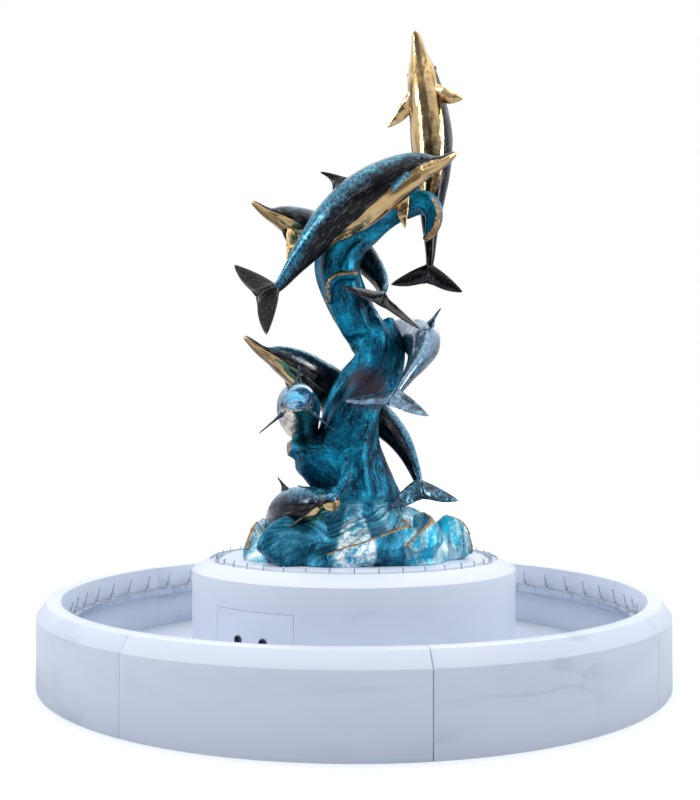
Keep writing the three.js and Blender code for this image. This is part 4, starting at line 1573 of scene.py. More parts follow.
class DolphinCasting:
    """Builds one dolphin: body, fins, eyes and mouth line as closed shells of one piece."""

    rings = 190
    sides = 72
    crowding = 0.38
    nose_round = 0.97
    blunt_reach = 0.9
    mouth_depth = 0.0045
    mouth_width = 0.0055
    mouth_start = (0.0, 0.02)
    mouth_end = (0.19, 0.16)
    chasing_size = 0.17
    chasing_height = 0.0016
    chasing_seed = 3
    chasing_start = (0.0, 0.05)
    fin_rings = 26
    fin_sides = 28
    fin_curve = 1.4
    fin_drop = 0.35
    fin_edge = 0.35
    fin_taper = 0.75
    fin_cap = 0.1
    flare_reach = 0.13
    flare_wide = 0.18
    flare_thick = 0.9
    eye_at = 0.158
    eye_tilt = 4.0
    eye_size = 0.008
    eye_shape = (0.55, 1.25, 0.8)

    def __init__(self, plan: Dolphin) -> None:
        """Works out the spine's length from its curve.

        Args:
            plan: the dolphin's pose and finish.
        """
        self.plan = plan
        self.fine = np.linspace(0, 1, 800)
        self.curve = through_points(bronze_points(plan.spine), self.fine)
        steps = np.linalg.norm(np.diff(self.curve, axis=0), axis=1)
        self.reached = np.concatenate([[0], np.cumsum(steps)])
        self.length = self.reached[-1] / plan.shown
        self.thickness = self.length * plan.girth

    def frame_at(self, share: Array) -> SpineFrame:
        """Spine frames at shares of the body.

        The place is measured along the curve. The back hints are blended in a straight line between their
        even steps and then made square to the spine, and the side is the tail direction crossed with up.

        Args:
            share: shares of the body's length.

        Returns:
            One frame for each share.
        """
        along = np.clip(share / self.plan.shown, 0, 1)
        place = np.interp(along * self.reached[-1], self.reached, self.fine)
        point = np.stack([np.interp(place, self.fine, axis) for axis in self.curve.T], axis=-1)
        slope = unit(np.gradient(self.curve, axis=0))
        tail = unit(np.stack([np.interp(place, self.fine, axis) for axis in slope.T], axis=-1))
        hints = np.asarray(self.plan.back, float)
        step = np.linspace(0, 1, len(hints))
        up = np.stack([np.interp(along, step, axis) for axis in hints.T], axis=-1)
        up = square_to(up, tail)
        return SpineFrame(point, tail, up, np.cross(tail, up))

    def nose(self, share: Array, reach: float) -> Array:
        """How wide the snout's first rings are against their full width: they grow as a circle does.

        Args:
            share: shares of the body's length.
            reach: where the full width is reached, in the same measure.

        Returns:
            A factor for each share.
        """
        return np.sqrt(1 - self.nose_round * np.maximum(1 - share / reach, 0) ** 2)

    def body(self) -> Shell:
        """The body: rings whose upper half has the back's height and whose lower half has the belly's.

        A ring's point at angle a is side times cos(a) times the half width, plus up times sin(a) times the
        height. The rings are closer together at the snout. The mouth line is pressed in by a bell curve
        of the distance from it, and slow noise moves the skin by a millimetre, as chasing does.

        Returns:
            The body's shell with its marks: gold, back and lie, which runs along the body.
        """
        t = np.linspace(0, 1, self.rings)
        share = ((1 - self.crowding) * t + self.crowding * t**2) * self.plan.shown
        frame = self.frame_at(share)
        tip = self.nose(share, SNOUT)
        blunt = self.plan.blunt
        least = blunt * self.nose(share, max(self.blunt_reach * blunt, SNOUT))
        back, belly, half = (
            np.maximum(read_rows(BODY, share, k) * tip, least) * self.thickness for k in (1, 2, 3)
        )
        angle = np.arange(self.sides) * TAU / self.sides
        sine, cosine = np.sin(angle)[None], np.cos(angle)[None]
        tall = np.where(sine > 0, back[:, None], belly[:, None])
        level = np.clip(sine * np.ones_like(tall), -1, 1)
        mouth = read_rows(MOUTH_LEVEL, np.clip(share, 0, self.mouth_end[0]))[:, None]
        fade = smoothstep(*self.mouth_end, share)[:, None]
        gap = (level - mouth) * tall
        pressed = self.mouth_depth * fade * np.exp(-((gap / self.mouth_width) ** 2))
        pressed *= smoothstep(*self.mouth_start, share)[:, None]
        rings = (
            frame.point[:, None]
            + frame.side[:, None] * (cosine * half[:, None])[..., None]
            + frame.up[:, None] * (sine * tall)[..., None]
        )
        outward = unit(
            frame.side[:, None] * (cosine * tall)[..., None]
            + frame.up[:, None] * (sine * half[:, None])[..., None]
        )
        slow = value_noise(rings.reshape(-1, 3) / self.chasing_size, self.chasing_seed)
        slow = slow.reshape(rings.shape[:2]) * smoothstep(*self.chasing_start, share)[:, None]
        rings += outward * (self.chasing_height * slow - pressed)[..., None]
        bare = read_rows(BARE_LEVEL, share)[:, None]
        ahead = LIE_STRETCH * self.length * share[:, None] * np.ones_like(level)
        lie = np.stack([cosine * half[:, None], sine * tall, ahead], axis=-1)
        return skin(rings, marks={"gold": bare - level, "back": level, "lie": lie})

    def fin(
        self, root: Array, reach: Array, rearward: Array, shape: FinShape, length: float, dress: FinDress
    ) -> Shell:
        """A blade that reaches out from its root and sweeps to the rear.

        At share s of the reach the leading edge lies sweep times s^fin_curve to the rear. The trailing edge
        runs straight from the chord to the tip, less hollow times sin(pi s). The section is a drop:
        rearwards -cos(a), and across sin(a) times 1 + fin_drop cos(a). It thickens by a bell curve where it
        leaves the body, and its tip rounds off as a circle does.

        Args:
            root: middle of the root's leading edge.
            reach: direction outwards.
            rearward: rough direction of the chord.
            shape: the fin's shares.
            length: the dolphin's length in metres.
            dress: the fin's finish.

        Returns:
            The fin's shell with its marks.
        """
        rear = square_to(rearward, reach)
        across = np.cross(reach, rear)
        s = np.sin(np.linspace(0, math.pi / 2, self.fin_rings))
        lead = shape.sweep * s**self.fin_curve
        trail = shape.chord + (shape.sweep + FIN_TIP * shape.chord - shape.chord) * s
        trail -= shape.hollow * np.sin(math.pi * s)
        emerges = shape.sunk / shape.reach
        flare = np.exp(-((np.maximum(s - emerges, 0) / self.flare_reach) ** 2))
        tip = np.sqrt(np.clip(1 - (np.maximum(s - 1 + self.fin_cap, 0) / self.fin_cap) ** 2, 0.004, 1))
        wide = (trail - lead) / 2 * tip * (1 + self.flare_wide * flare)
        blade = self.fin_edge + (1 - self.fin_edge) * tip
        half = shape.thick * (1 - self.fin_taper * s) * blade * (1 + self.flare_thick * flare)
        angle = np.arange(self.fin_sides) * TAU / self.fin_sides
        chord = -wide[:, None] * length * np.cos(angle)
        deep = half[:, None] * length * np.sin(angle) * (1 + self.fin_drop * np.cos(angle))
        rows = (
            root
            + reach * ((shape.reach * s - shape.sunk) * length)[:, None, None]
            + rear * (((lead + trail) / 2)[:, None] * length + chord)[..., None]
            + across * deep[..., None]
        )
        gold, back = (np.full(rows.shape[:2], value) for value in dress.value)
        lie = np.stack([chord, 0 * chord, LIE_STRETCH * length * s[:, None] + 0 * chord], axis=-1)
        return skin(rows, marks={"gold": gold, "back": back, "lie": lie})

    def eye(self, sideways: float) -> Shell:
        """An eye: a small flattened ball in the side of the head, a little above the mouth line's end.

        Args:
            sideways: 1 for the one side and -1 for the other.

        Returns:
            The eye's shell with its marks.
        """
        share = np.array([self.eye_at])
        frame = self.frame_at(share)
        back, half = (float(read_rows(BODY, share, k)[0]) * self.thickness for k in (1, 3))
        tilt = math.radians(self.eye_tilt)
        out = frame.side[0] * sideways
        centre = frame.point[0] + out * half * math.cos(tilt) + frame.up[0] * back * math.sin(tilt)
        thick, wide, tall = (part * self.eye_size * self.length for part in self.eye_shape)
        fall = np.linspace(0.02, math.pi - 0.02, 9)
        turn = np.arange(14) * TAU / 14
        rings = (
            centre
            + out * (np.cos(fall) * thick)[:, None, None]
            + frame.tail[0] * (np.sin(fall)[:, None] * np.cos(turn) * wide)[..., None]
            + frame.up[0] * (np.sin(fall)[:, None] * np.sin(turn) * tall)[..., None]
        )
        dark = np.full(rings.shape[:2], -1.0)
        return skin(rings, marks={"gold": dark, "back": dark, "lie": rings})

    def fins(self) -> list[Shell]:
        """The dorsal fin, both flippers and, unless the tail is under water, both lobes of the fluke.

        Returns:
            The shell of each.
        """
        plan, length = self.plan, self.length
        top = np.array([plan.dorsal_at])
        dorsal = self.frame_at(top)
        crown = float(read_rows(BODY, top, 1)[0]) * self.thickness
        root = dorsal.point[0] + dorsal.up[0] * crown
        parts = [self.fin(root, dorsal.up[0], dorsal.tail[0], DORSAL, length, FinDress.DARK)]
        at = np.array([plan.flipper_at])
        chest = self.frame_at(at)
        width = float(read_rows(BODY, at, 3)[0]) * self.thickness
        depth = float(read_rows(BODY, at, 2)[0]) * self.thickness
        for sideways, (out, up, rear), dress in zip((1.0, -1.0), plan.flippers, plan.dress):
            side, rise, tail = chest.side[0] * sideways, chest.up[0], chest.tail[0]
            reach = unit(side * out + rise * up + tail * rear)
            wide, deep = plan.flipper_root
            root = chest.point[0] + side * width * wide - rise * depth * deep
            parts.append(self.fin(root, reach, tail, FLIPPER, length, dress))
        if plan.shown == 1:
            stock, end = self.frame_at(np.array([FLUKE.at])).point[0], self.frame_at(np.array([1.0]))
            for reach in (end.side[0], -end.side[0]):
                parts.append(
                    self.fin(stock, reach, end.tail[0], FLUKE, length * plan.fluke, plan.fluke_dress)
                )
        return parts

    def build(self, shelf: FinishShelf) -> None:
        """Builds the piece, dresses it and puts it in place of its CAD node.

        Args:
            shelf: where the finishes are kept.
        """
        shells = [self.body(), *self.fins(), self.eye(1.0), self.eye(-1.0)]
        piece = mesh_object(f"{self.plan.name}_dolphin", shells)
        shelf.dress(piece, self.plan.patina.value)
        set_down(piece, Slot.DOLPHIN, f"dolphin_{self.plan.name}")


@dataclass(frozen=True)
class Strand:
    """A strand of water: rows of x, y, z and half width as shares, its depth, its flutes and their twist."""

    path: tuple[tuple[float, float, float, float], ...]
    depth: float = 1.0
    flutes: int = 0
    twist: float = 0.0


STRANDS = {
    "trunk": Strand(
        ((-0.007, 0, 0.0, 0.1), (-0.005, 0, 0.07, 0.09), (-0.003, 0, 0.13, 0.07), (-0.012, 0, 0.19, 0.06),
         (-0.009, 0, 0.237, 0.054), (0.001, 0, 0.283, 0.05), (0.018, 0, 0.323, 0.045),
         (0.036, 0, 0.365, 0.036), (0.038, -0.002, 0.41, 0.032), (0.034, -0.006, 0.447, 0.016)),
        1, 5, 2.2,
    ),
    "arch": Strand(
        ((0.055, 0.012, 0.34, 0.026), (0.036, 0.012, 0.395, 0.034), (0.008, 0.006, 0.44, 0.038),
         (-0.018, 0, 0.495, 0.039), (-0.03, -0.002, 0.545, 0.041), (-0.015, 0, 0.59, 0.043),
         (0.018, 0.002, 0.62, 0.039), (0.062, 0.002, 0.648, 0.03), (0.105, 0, 0.664, 0.026),
         (0.134, -0.006, 0.663, 0.022), (0.149, -0.012, 0.641, 0.017), (0.145, -0.014, 0.61, 0.012),
         (0.131, -0.016, 0.59, 0.006)),
        1.2, 5, 3,
    ),
    "behind": Strand(
        ((0.052, 0.014, 0.3, 0.02), (0.071, 0.019, 0.345, 0.023), (0.074, 0.02, 0.4, 0.021),
         (0.064, 0.017, 0.45, 0.01)),
        1.2, 2, 1,
    ),
    "skirt": Strand(
        ((0.019, 0.03, 0.23, 0.024), (0.022, 0.034, 0.184, 0.032), (0.04, 0.034, 0.14, 0.032),
         (0.07, 0.03, 0.07, 0.036)),
        1.4, 2, 0.5,
    ),
    "shoulder": Strand(
        ((0.0, 0, 0.13, 0.058), (-0.04, -0.01, 0.163, 0.052), (-0.075, -0.02, 0.186, 0.042),
         (-0.1, -0.027, 0.2, 0.028), (-0.122, -0.03, 0.2, 0.011)),
        1, 2, 1,
    ),
    "lip": Strand(
        ((-0.047, -0.036, 0.47, 0.006), (-0.045, -0.045, 0.498, 0.007), (-0.03, -0.051, 0.514, 0.007),
         (0.006, -0.046, 0.519, 0.006)),
    ),
}
CRESTS = tuple(
    Strand(path)
    for path in (
        ((-0.045, -0.18, 0.012, 0.008), (0.03, -0.171, 0.028, 0.016), (0.088, -0.138, 0.045, 0.018),
         (0.08, -0.112, 0.068, 0.01)),
        ((0.09, -0.165, 0.022, 0.012), (0.128, -0.128, 0.048, 0.022), (0.12, -0.09, 0.083, 0.01)),
        ((-0.14, -0.145, 0.005, 0.03), (-0.12, -0.14, 0.03, 0.036), (-0.085, -0.13, 0.045, 0.034),
         (-0.05, -0.12, 0.045, 0.02)),
        ((0.19, -0.05, 0.0, 0.022), (0.175, -0.045, 0.04, 0.028), (0.155, -0.03, 0.062, 0.018)),
        ((-0.18, -0.06, 0.0, 0.022), (-0.17, -0.03, 0.03, 0.028), (-0.155, 0.02, 0.048, 0.02)),
        ((0.15, 0.1, 0.0, 0.028), (0.11, 0.12, 0.04, 0.034), (0.065, 0.11, 0.07, 0.02)),
        ((0.02, 0.165, 0.0, 0.028), (-0.035, 0.14, 0.04, 0.034), (-0.07, 0.1, 0.07, 0.02)),
        ((-0.15, 0.09, 0.0, 0.028), (-0.12, 0.07, 0.06, 0.034), (-0.09, 0.05, 0.12, 0.016)),
    )
)
MOUND = ((0, 0.205), (0.02, 0.198), (0.04, 0.178), (0.058, 0.145), (0.075, 0.11), (0.095, 0.08))


@dataclass
class StrandLine:
    """A strand's middle line at even steps: points, directions, radii and distance along it."""

    point: Array
    tangent: Array
    side: Array
    away: Array
    radius: Array
    along: Array
    share: Array


@dataclass
class Wave:
    """The twisting wave and the broken water at its foot, as one skin over all its strands."""

    shelf: FinishShelf
    voxel: float = 0.0125
    relax_rounds: int = 4
    relax_strength: float = 0.5
    lobes: int = 7
    lobe_depth: float = 0.05
    mound_turn: float = 9.0
    mound_skirt: float = 0.02
    flute_depth: float = 0.09
    least_radius: float = 0.003
    crest_lean: float = 0.25
    crest_rise: float = 1.35
    crest_root: float = 1.6
    crest_wide: float = 1.25
    crest_narrow: float = 0.72
    flow_steps: int = 64
    flow_squeeze: float = 0.2
    flow_hold: float = 2.2
    mound_flow: float = 1.2
    mound_level: tuple[float, float] = (0.115, 0.06)
    swirl: float = 1.7
    swirl_circle: float = 0.5
    swirl_squeeze: float = 0.22
    edge_steps: int = 40
    edge_width: float = 0.022
    lip_way: Vec3 = (0.0, -0.6, 0.8)
    tip_steps: int = 4
    tip_width: float = 0.07
    arch_steps: int = 120
    curl_steps: int = 26
    curl_width: float = 0.042
    curl_turn: float = -50.0
    seeds: tuple[int, int, int] = (11, 12, 13)
    broad_size: float = 0.11
    broad_height: float = 0.011
    fine_size: float = 0.045
    fine_height: float = 0.004
    sunk: float = 0.006
    lump_size: float = 0.03
    lump_height: float = 0.006
    edge_lift: float = 0.004
    foot_fade: float = 0.035
    brown_at: Vec3 = (0.11, -0.15, 2.17)
    brown_reach: float = 0.2
    # Painted sunlight at the front of the mound, as white with foam-like flecks, and painted sunlight and
    # shade round it by bearing
    sunlit_froth_start: tuple[float, float] = (-12, -9)
    sunlit_froth_end: tuple[float, float] = (12, 10)
    sun_and_shade_by_bearing: tuple[tuple[float, float], ...] = (
        (-180, 0.5), (-95, 0.7), (-62, 0.95), (-52, 0.12), (-12, 0.05), (-9, 1.0), (10, 1.0), (12, 0.03),
        (27, 0.05), (31, 1.0), (75, 1.0), (100, 0.7), (180, 0.5),
    )

    def line(self, strand: Strand, steps: int) -> StrandLine:
        """A strand's middle line. Its away direction is +Y made square to the line, as in the solids.

        Args:
            strand: the strand.
            steps: points on the line.

        Returns:
            The line.
        """
        share = np.linspace(0, 1, steps)
        control = bronze_points(strand.path)
        point = through_points(control, share)
        tangent = unit(np.gradient(point, axis=0))
        away = square_to(np.broadcast_to(np.array([0.0, 1.0, 0.0]), tangent.shape), tangent)
        rows = [(k / (len(strand.path) - 1), row[3]) for k, row in enumerate(strand.path)]
        radius = np.maximum(read_rows(rows, share), self.least_radius) * BRONZE_HEIGHT
        along = np.concatenate([[0], np.cumsum(np.linalg.norm(np.diff(point, axis=0), axis=1))])
        return StrandLine(point, tangent, np.cross(tangent, away), away, radius, along, share)

    def strand(self, plan: Strand, steps: int = 90, sides: int = 60) -> Shell:
        """A fluted strand: radius times 1 + depth cos(flutes (angle + twist share)) round its line.

        Args:
            plan: the strand.
            steps: rings along it.
            sides: corners round it.

        Returns:
            The closed shell.
        """
        line = self.line(plan, steps)
        angle = np.arange(sides) * TAU / sides
        ridge = self.flute_depth * np.cos(plan.flutes * (angle[None] + plan.twist * line.share[:, None]))
        radius = line.radius[:, None] * (1 + (ridge if plan.flutes else 0))
        rings = (
            line.point[:, None]
            + line.side[:, None] * (radius * np.cos(angle))[..., None]
            + line.away[:, None] * (radius * plan.depth * np.sin(angle))[..., None]
        )
        return skin(rings)

    def crest_edge(self, plan: Strand, steps: int) -> tuple[StrandLine, Array, Array]:
        """A breaker's edge, which rises above its line and leans away from the column.

        Args:
            plan: the breaker's path.
            steps: points along it.

        Returns:
            The breaker's line, the directions in which its edge rises, and the edge.
        """
        line = self.line(plan, steps)
        outward = unit(line.point * np.array([1, 1, 0]))
        rise = square_to(np.array([0, 0, 1.0]) + self.crest_lean * outward, line.tangent)
        edge = line.point + rise * (line.radius * self.crest_rise)[:, None]
        return line, rise, edge

    def crest(self, plan: Strand, steps: int = 60, sides: int = 40) -> Shell:
        """A breaker: a drop-shaped section whose point is the edge.

        At angle a the height is sin(a) and the width cos(a) times the radius. Both are stretched, the
        height more below the line than above, and the width narrows with sin(a) above the line.

        Args:
            plan: the breaker's path.
            steps: rings along it.
            sides: corners round it.

        Returns:
            The closed shell.
        """
        line, rise, _ = self.crest_edge(plan, steps)
        side = np.cross(line.tangent, rise)
        angle = np.arange(sides) * TAU / sides
        sine, cosine = np.sin(angle), np.cos(angle)
        narrow = np.where(sine > 0, 1 - self.crest_narrow * sine, 1.0)
        tall = np.where(sine > 0, self.crest_rise, self.crest_root)
        rings = (
            line.point[:, None]
            + side[:, None] * (line.radius[:, None] * self.crest_wide * cosine * narrow)[..., None]
            + rise[:, None] * (line.radius[:, None] * sine * tall)[..., None]
        )
        return skin(rings)

    def mound(self, rows: int = 40, sides: int = 180) -> Shell:
        """The mound: its radius by height, times 1 + depth cos(lobes (angle + turn height)).

        Args:
            rows: rings from the foot up.
            sides: corners of each ring.

        Returns:
            The closed shell.
        """
        table = [(k / (len(MOUND) - 1), *row) for k, row in enumerate(MOUND)]
        share = np.linspace(0, 1, rows)
        height, radius = read_rows(table, share, 1), read_rows(table, share, 2)
        angle = np.arange(sides) * TAU / sides
        wave = np.cos(self.lobes * (angle[None] + self.mound_turn * height[:, None]))
        reach = radius[:, None] * (1 + self.lobe_depth * wave)
        level = height[:, None] * np.ones_like(reach)
        shares = np.stack([reach * np.cos(angle), reach * SPREAD * np.sin(angle), level], axis=-1)
        skirt = shares[:1].copy()
        skirt[..., 2] -= self.mound_skirt
        rings = np.vstack([skirt, shares])
        return skin(bronze_points(rings.reshape(-1, 3)).reshape(rings.shape))

    def skin_over(self) -> Piece:
        """One skin over the mound, the strands and the breakers: a voxel remesh of them together.

        Returns:
            The piece, before it is smoothed and cut.
        """
        shells = [self.mound(), *(self.strand(plan) for plan in STRANDS.values())]
        shells += [self.crest(plan) for plan in CRESTS]
        piece = mesh_object("wave", shells)
        remesh = piece.modifiers.new("voxels", "REMESH")
        remesh.mode, remesh.voxel_size, remesh.use_smooth_shade = "VOXEL", self.voxel, True
        bpy.context.view_layer.update()
        settle(piece)
        return piece

    @staticmethod
    def relax(mesh: Mesh, rounds: int, strength: float) -> None:
        """Moves each corner towards the mean of its neighbours, several times over.

        Args:
            mesh: the mesh.
            rounds: how many times.
            strength: how much of the way, from 0 to 1.
        """
        ends = np.empty(len(mesh.edges) * 2, np.int32)
        mesh.edges.foreach_get("vertices", ends)
        first, second = ends.reshape(-1, 2).T
        count = len(mesh.vertices)
        valence = np.maximum(np.bincount(first, minlength=count) + np.bincount(second, minlength=count), 1)
        points = corners_of(mesh)
        for _ in range(rounds):
            total = np.stack(
                [
                    np.bincount(first, axis[second], count) + np.bincount(second, axis[first], count)
                    for axis in points.T
                ],
                axis=-1,
            )
            points += strength * (total / valence[:, None] - points)
        mesh.vertices.foreach_set("co", points.astype(np.float32).reshape(-1))

    @staticmethod
    def cut_flat(mesh: Mesh) -> None:
        """Cuts the mesh at the pedestal's top and closes it with a flat face.

        Args:
            mesh: the mesh.
        """
        work = bmesh.new()
        work.from_mesh(mesh)
        everything = work.verts[:] + work.edges[:] + work.faces[:]
        result = bmesh.ops.bisect_plane(
            work, geom=everything, plane_co=(0, 0, BRONZE_FOOT), plane_no=(0, 0, 1), clear_inner=True
        )
        rim = [item for item in result["geom_cut"] if isinstance(item, bmesh.types.BMEdge)]
        bmesh.ops.holes_fill(work, edges=rim)
        bmesh.ops.triangulate(work, faces=[face for face in work.faces if len(face.verts) > 4])
        work.to_mesh(mesh)
        work.free()

    def follow(self, points: Array) -> tuple[Array, Array]:
        """Coordinates that run with the water, and how far each point belongs to the mound.

        For each strand the nearest step of its line gives the point's place beside the line, turned with
        the flutes, and its distance along it, squeezed to a fifth. On the mound the first two numbers are
        a point on the circle at the angle plus swirl times the logarithm of the radius. All are blended by
        weights that fall as a bell curve of the distance over the strand's radius.

        Args:
            points: corners of the skin.

        Returns:
            The coordinates, one a row, and the mound's share of each corner.
        """
        total = np.zeros_like(points)
        weight = np.zeros(len(points))
        for plan in STRANDS.values():
            line = self.line(plan, self.flow_steps)
            step, _ = nearest(points, line.point)
            offset = points - line.point[step]
            x, y, ahead = (
                np.einsum("ij,ij->i", offset, way[step]) for way in (line.side, line.away, line.tangent)
            )
            turn = plan.twist * line.share[step]
            local = np.stack(
                [
                    x * np.cos(turn) - y * np.sin(turn),
                    x * np.sin(turn) + y * np.cos(turn),
                    (line.along[step] + ahead) * self.flow_squeeze,
                ],
                axis=-1,
            )
            beside = np.linalg.norm(offset, axis=1) / line.radius[step]
            near = np.exp(-self.flow_hold * beside**2) + 1e-9
            total += local * near[:, None]
            weight += near
        level = (points[:, 2] - BRONZE_FOOT) / BRONZE_HEIGHT
        on_mound = smoothstep(*self.mound_level, level)
        radius = np.hypot(points[:, 0], points[:, 1] / SPREAD)
        bearing = np.arctan2(points[:, 1], points[:, 0]) + self.swirl * np.log(radius / 0.4 + 0.2)
        circle, rise = self.swirl_circle, (radius + points[:, 2]) * self.swirl_squeeze
        swirled = np.stack([circle * np.cos(bearing), circle * np.sin(bearing), rise], axis=-1)
        share = on_mound * self.mound_flow
        flow = (total + swirled * share[:, None]) / (weight + share)[:, None]
        return flow, on_mound

    def edge_lines(self) -> list[tuple[Array, float]]:
        """Lines of bare metal: the breakers' edges but the third's, the lip, the shoulder's tip and the curl.

        Returns:
            The points of each line, and its width.
        """
        steps, width = self.edge_steps, self.edge_width
        lines = [(self.crest_edge(plan, steps)[2], width) for plan in (*CRESTS[:2], *CRESTS[3:])]
        lip = self.line(STRANDS["lip"], steps)
        lines.append((lip.point + np.array(self.lip_way) * lip.radius[:, None], width))
        lines.append((self.line(STRANDS["shoulder"], steps).point[-self.tip_steps :], self.tip_width))
        arch = self.line(STRANDS["arch"], self.arch_steps)
        end = slice(-self.curl_steps, None)
        turn = math.radians(self.curl_turn)
        front = arch.side[end] * math.cos(turn) + arch.away[end] * math.sin(turn) * STRANDS["arch"].depth
        lines.append((arch.point[end] + front * arch.radius[end, None], self.curl_width))
        return lines

    def nearness(self, points: Array) -> Array:
        """The highest of the bell curves of each point's distance to the lines over their widths.

        Args:
            points: corners of the skin.

        Returns:
            A number from 0 to 1 for each corner.
        """
        near = np.zeros(len(points))
        for line, width in self.edge_lines():
            near = np.maximum(near, np.exp(-nearest(points, line)[1] / width**2))
        return near

    def carve_flow(self, mesh: Mesh) -> None:
        """Raises the ridges of the water and paints the marks that its finish reads.

        A ridge is 1 less twice the size of noise read on the flow coordinates. There are broad and fine
        ridges, and bare edges get lumps.

        Args:
            mesh: the smoothed skin.
        """
        points = corners_of(mesh)
        flow, on_mound = self.follow(points)
        edge = self.nearness(points)
        broad = 1 - 2 * np.abs(value_noise(flow / self.broad_size, self.seeds[0]))
        fine = 1 - 2 * np.abs(value_noise(flow / self.fine_size, self.seeds[1]))
        lumps = value_noise(points / self.lump_size, self.seeds[2])
        lift = self.broad_height * broad + self.fine_height * fine - self.sunk
        lift += edge * (self.edge_lift + self.lump_height * lumps)
        lift *= smoothstep(0.0, self.foot_fade, points[:, 2] - BRONZE_FOOT)
        normals = np.empty(len(points) * 3, np.float32)
        mesh.vertex_normals.foreach_get("vector", normals)
        moved = points + normals.reshape(-1, 3) * lift[:, None]
        moved[:, 2] = np.maximum(moved[:, 2], BRONZE_FOOT)
        mesh.vertices.foreach_set("co", moved.astype(np.float32).reshape(-1))
        bearing = np.degrees(np.arctan2(points[:, 0], -points[:, 1]))
        # Painted sunlight and shade on the mound: lit and shaded sectors by bearing, and painted sunlight in
        # white at the front
        pale = on_mound * np.interp(bearing, *zip(*self.sun_and_shade_by_bearing))
        sunlit_froth = on_mound * smoothstep(*self.sunlit_froth_start, bearing) * smoothstep(*self.sunlit_froth_end, bearing)
        umber = np.exp(-((np.linalg.norm(points - self.brown_at, axis=1) / self.brown_reach) ** 2))
        paint(mesh, "flow", flow)
        for name, values in {"bare": edge, "pale": pale, "sunlit_froth": sunlit_froth, "umber": umber}.items():
            paint(mesh, name, np.clip(values, 0, 1))
        mesh.update()

    def build(self) -> None:
        """Builds the wave in place of its CAD node."""
        piece = self.skin_over()
        self.relax(piece.data, self.relax_rounds, self.relax_strength)
        self.cut_flat(piece.data)
        piece.data.update()
        self.carve_flow(piece.data)
        piece.data.shade_smooth()
        self.shelf.dress(piece, WATER)
        set_down(piece, Slot.WAVE, "wave_column")


# Studio


@dataclass(frozen=True)
class Lamp:
    """A soft rectangular light that looks at a point, with its power in watts and spread in degrees."""

    name: str
    place: Vec3
    target: Vec3
    size: tuple[float, float]
    power: float
    spread: float = 180.0


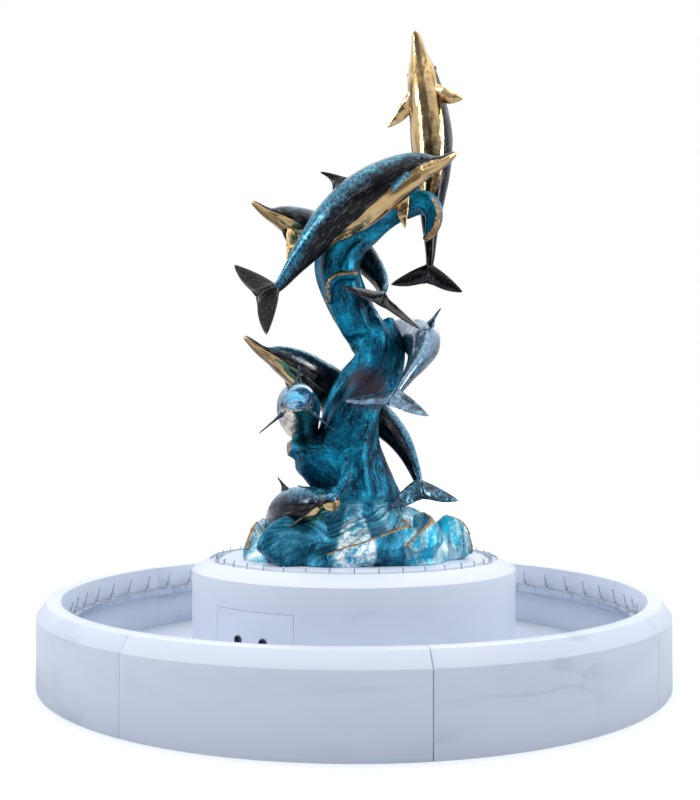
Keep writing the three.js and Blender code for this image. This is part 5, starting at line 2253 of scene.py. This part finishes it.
@dataclass
class Studio:
    """Pale floor, soft light and the camera at the photograph's viewing angle."""

    shelf: FinishShelf
    floor_radius: float = 60.0
    floor_sides: int = 96
    floor_thickness: float = 0.05
    eye: Vec3 = (-0.030, -7.272, 1.651)
    lens: float = 41.04
    sensor: float = 36.0
    rise: float = 0.069
    lamps: tuple[Lamp, ...] = (
        Lamp("overhead", (0.5, -1.0, 10.0), (0, 0, 0), (8, 8), 50),
        Lamp("left", (-7.5, -4.5, 6.0), (0, 0, 3.7), (2.0, 6), 32, 44),
        Lamp("right", (8.0, -3.0, 6.0), (0, 0, 3.7), (1.8, 6), 29, 44),
        Lamp("rear", (1.0, 9.0, 7.0), (0, 0, 2.8), (8, 3), 110),
    )
    sky: tuple[tuple[float, str], ...] = (
        (0.0, "#262a31"), (1.0, "#fdfeff"), (0.15, "#3f454e"), (0.5, "#a6acb7"),
    )
    sky_strength: float = 1.72
    side_lift: float = 0.3

    def floor(self) -> None:
        """A wide disc whose top is at the ground, marked as stage."""
        rim = around(self.floor_radius, np.arange(self.floor_sides) * 360 / self.floor_sides, 0.0)
        low = rim - np.array([0, 0, self.floor_thickness])
        floor = mesh_object("studio_floor", [skin(np.stack([low, rim]))], METAL_SHARP)
        self.shelf.dress(floor, FLOOR_PLASTER)
        floor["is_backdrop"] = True

    def light(self) -> None:
        """Area lights, and a sky that is white to the camera.

        The sky is bright overhead and dim at eye level in front, and lighter to both sides and behind.
        """
        for plan in self.lamps:
            data = bpy.data.lights.new(plan.name, "AREA")
            data.shape, data.size, data.size_y = "RECTANGLE", *plan.size
            data.energy, data.spread = plan.power, math.radians(plan.spread)
            lamp = bpy.data.objects.new(plan.name, data)
            lamp.location = plan.place
            aim = np.asarray(plan.target) - np.asarray(plan.place)
            lamp.rotation_euler = Vector(aim).to_track_quat("-Z", "Y").to_euler()
            bpy.context.scene.collection.objects.link(lamp)
        world = bpy.data.worlds.new("studio")
        world.use_nodes = True
        tree = world.node_tree
        tree.nodes.clear()
        seen = add(tree, "LightPath").outputs["Is Camera Ray"]
        way = add(tree, "TexCoord").outputs["Generated"]
        across, beyond, rise = add(tree, "SeparateXYZ", {0: way}).outputs
        side = add(tree, "Math", {0: across, 1: across}, operation="MULTIPLY").outputs[0]
        wide = add(tree, "Math", {0: side, 1: self.side_lift, 2: rise}, operation="MULTIPLY_ADD").outputs[0]
        rear = add(tree, "Math", {0: beyond, 1: 0.0}, operation="MAXIMUM").outputs[0]
        level = add(tree, "Math", {0: rear, 1: self.side_lift, 2: wide}, operation="MULTIPLY_ADD").outputs[0]
        dome = add(tree, "ValToRGB", {0: level}, self.sky).outputs[0]
        soft = add(tree, "Background", {"Color": dome, "Strength": self.sky_strength})
        white = add(tree, "Background", {"Color": "#ffffff", "Strength": 1.0})
        both = add(tree, "MixShader", {0: seen, 1: soft.outputs[0], 2: white.outputs[0]})
        add(tree, "OutputWorld", {"Surface": both.outputs[0]})
        bpy.context.scene.world = world

    def camera(self) -> None:
        """A level camera at a standing eye, with the rise that the photograph's framing needs."""
        data = bpy.data.cameras.new("camera")
        data.lens, data.sensor_width, data.sensor_fit = self.lens, self.sensor, "AUTO"
        data.shift_y = self.rise
        camera = bpy.data.objects.new("camera", data)
        camera.location, camera.rotation_euler = self.eye, (math.pi / 2, 0, 0)
        bpy.context.scene.collection.objects.link(camera)
        bpy.context.scene.camera = camera

    def build(self) -> None:
        """Sets up floor, light, camera and the plain view of colour."""
        self.floor()
        self.light()
        self.camera()
        view = bpy.context.scene.view_settings
        view.view_transform, view.look, view.exposure = "Standard", "None", 0.0


def main() -> None:
    """Builds the fountain over its fixed frame."""
    logging.basicConfig(level=logging.INFO, format="%(message)s")
    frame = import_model()
    solid_box = [list(corner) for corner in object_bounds()]
    shelf = FinishShelf()
    radius = min(solid_box[1][0], solid_box[1][1], -solid_box[0][0], -solid_box[0][1])
    basin = Basin(shelf, frame["nodes"]["basin_floor"], radius)
    basin.build()
    Pedestal(shelf).build()
    JetRings(shelf, basin.radius - basin.wall).build()
    Wave(shelf).build()
    for plan in DOLPHINS:
        DolphinCasting(plan).build(shelf)
    Studio(shelf).build()


if __name__ == "__main__":
    main()
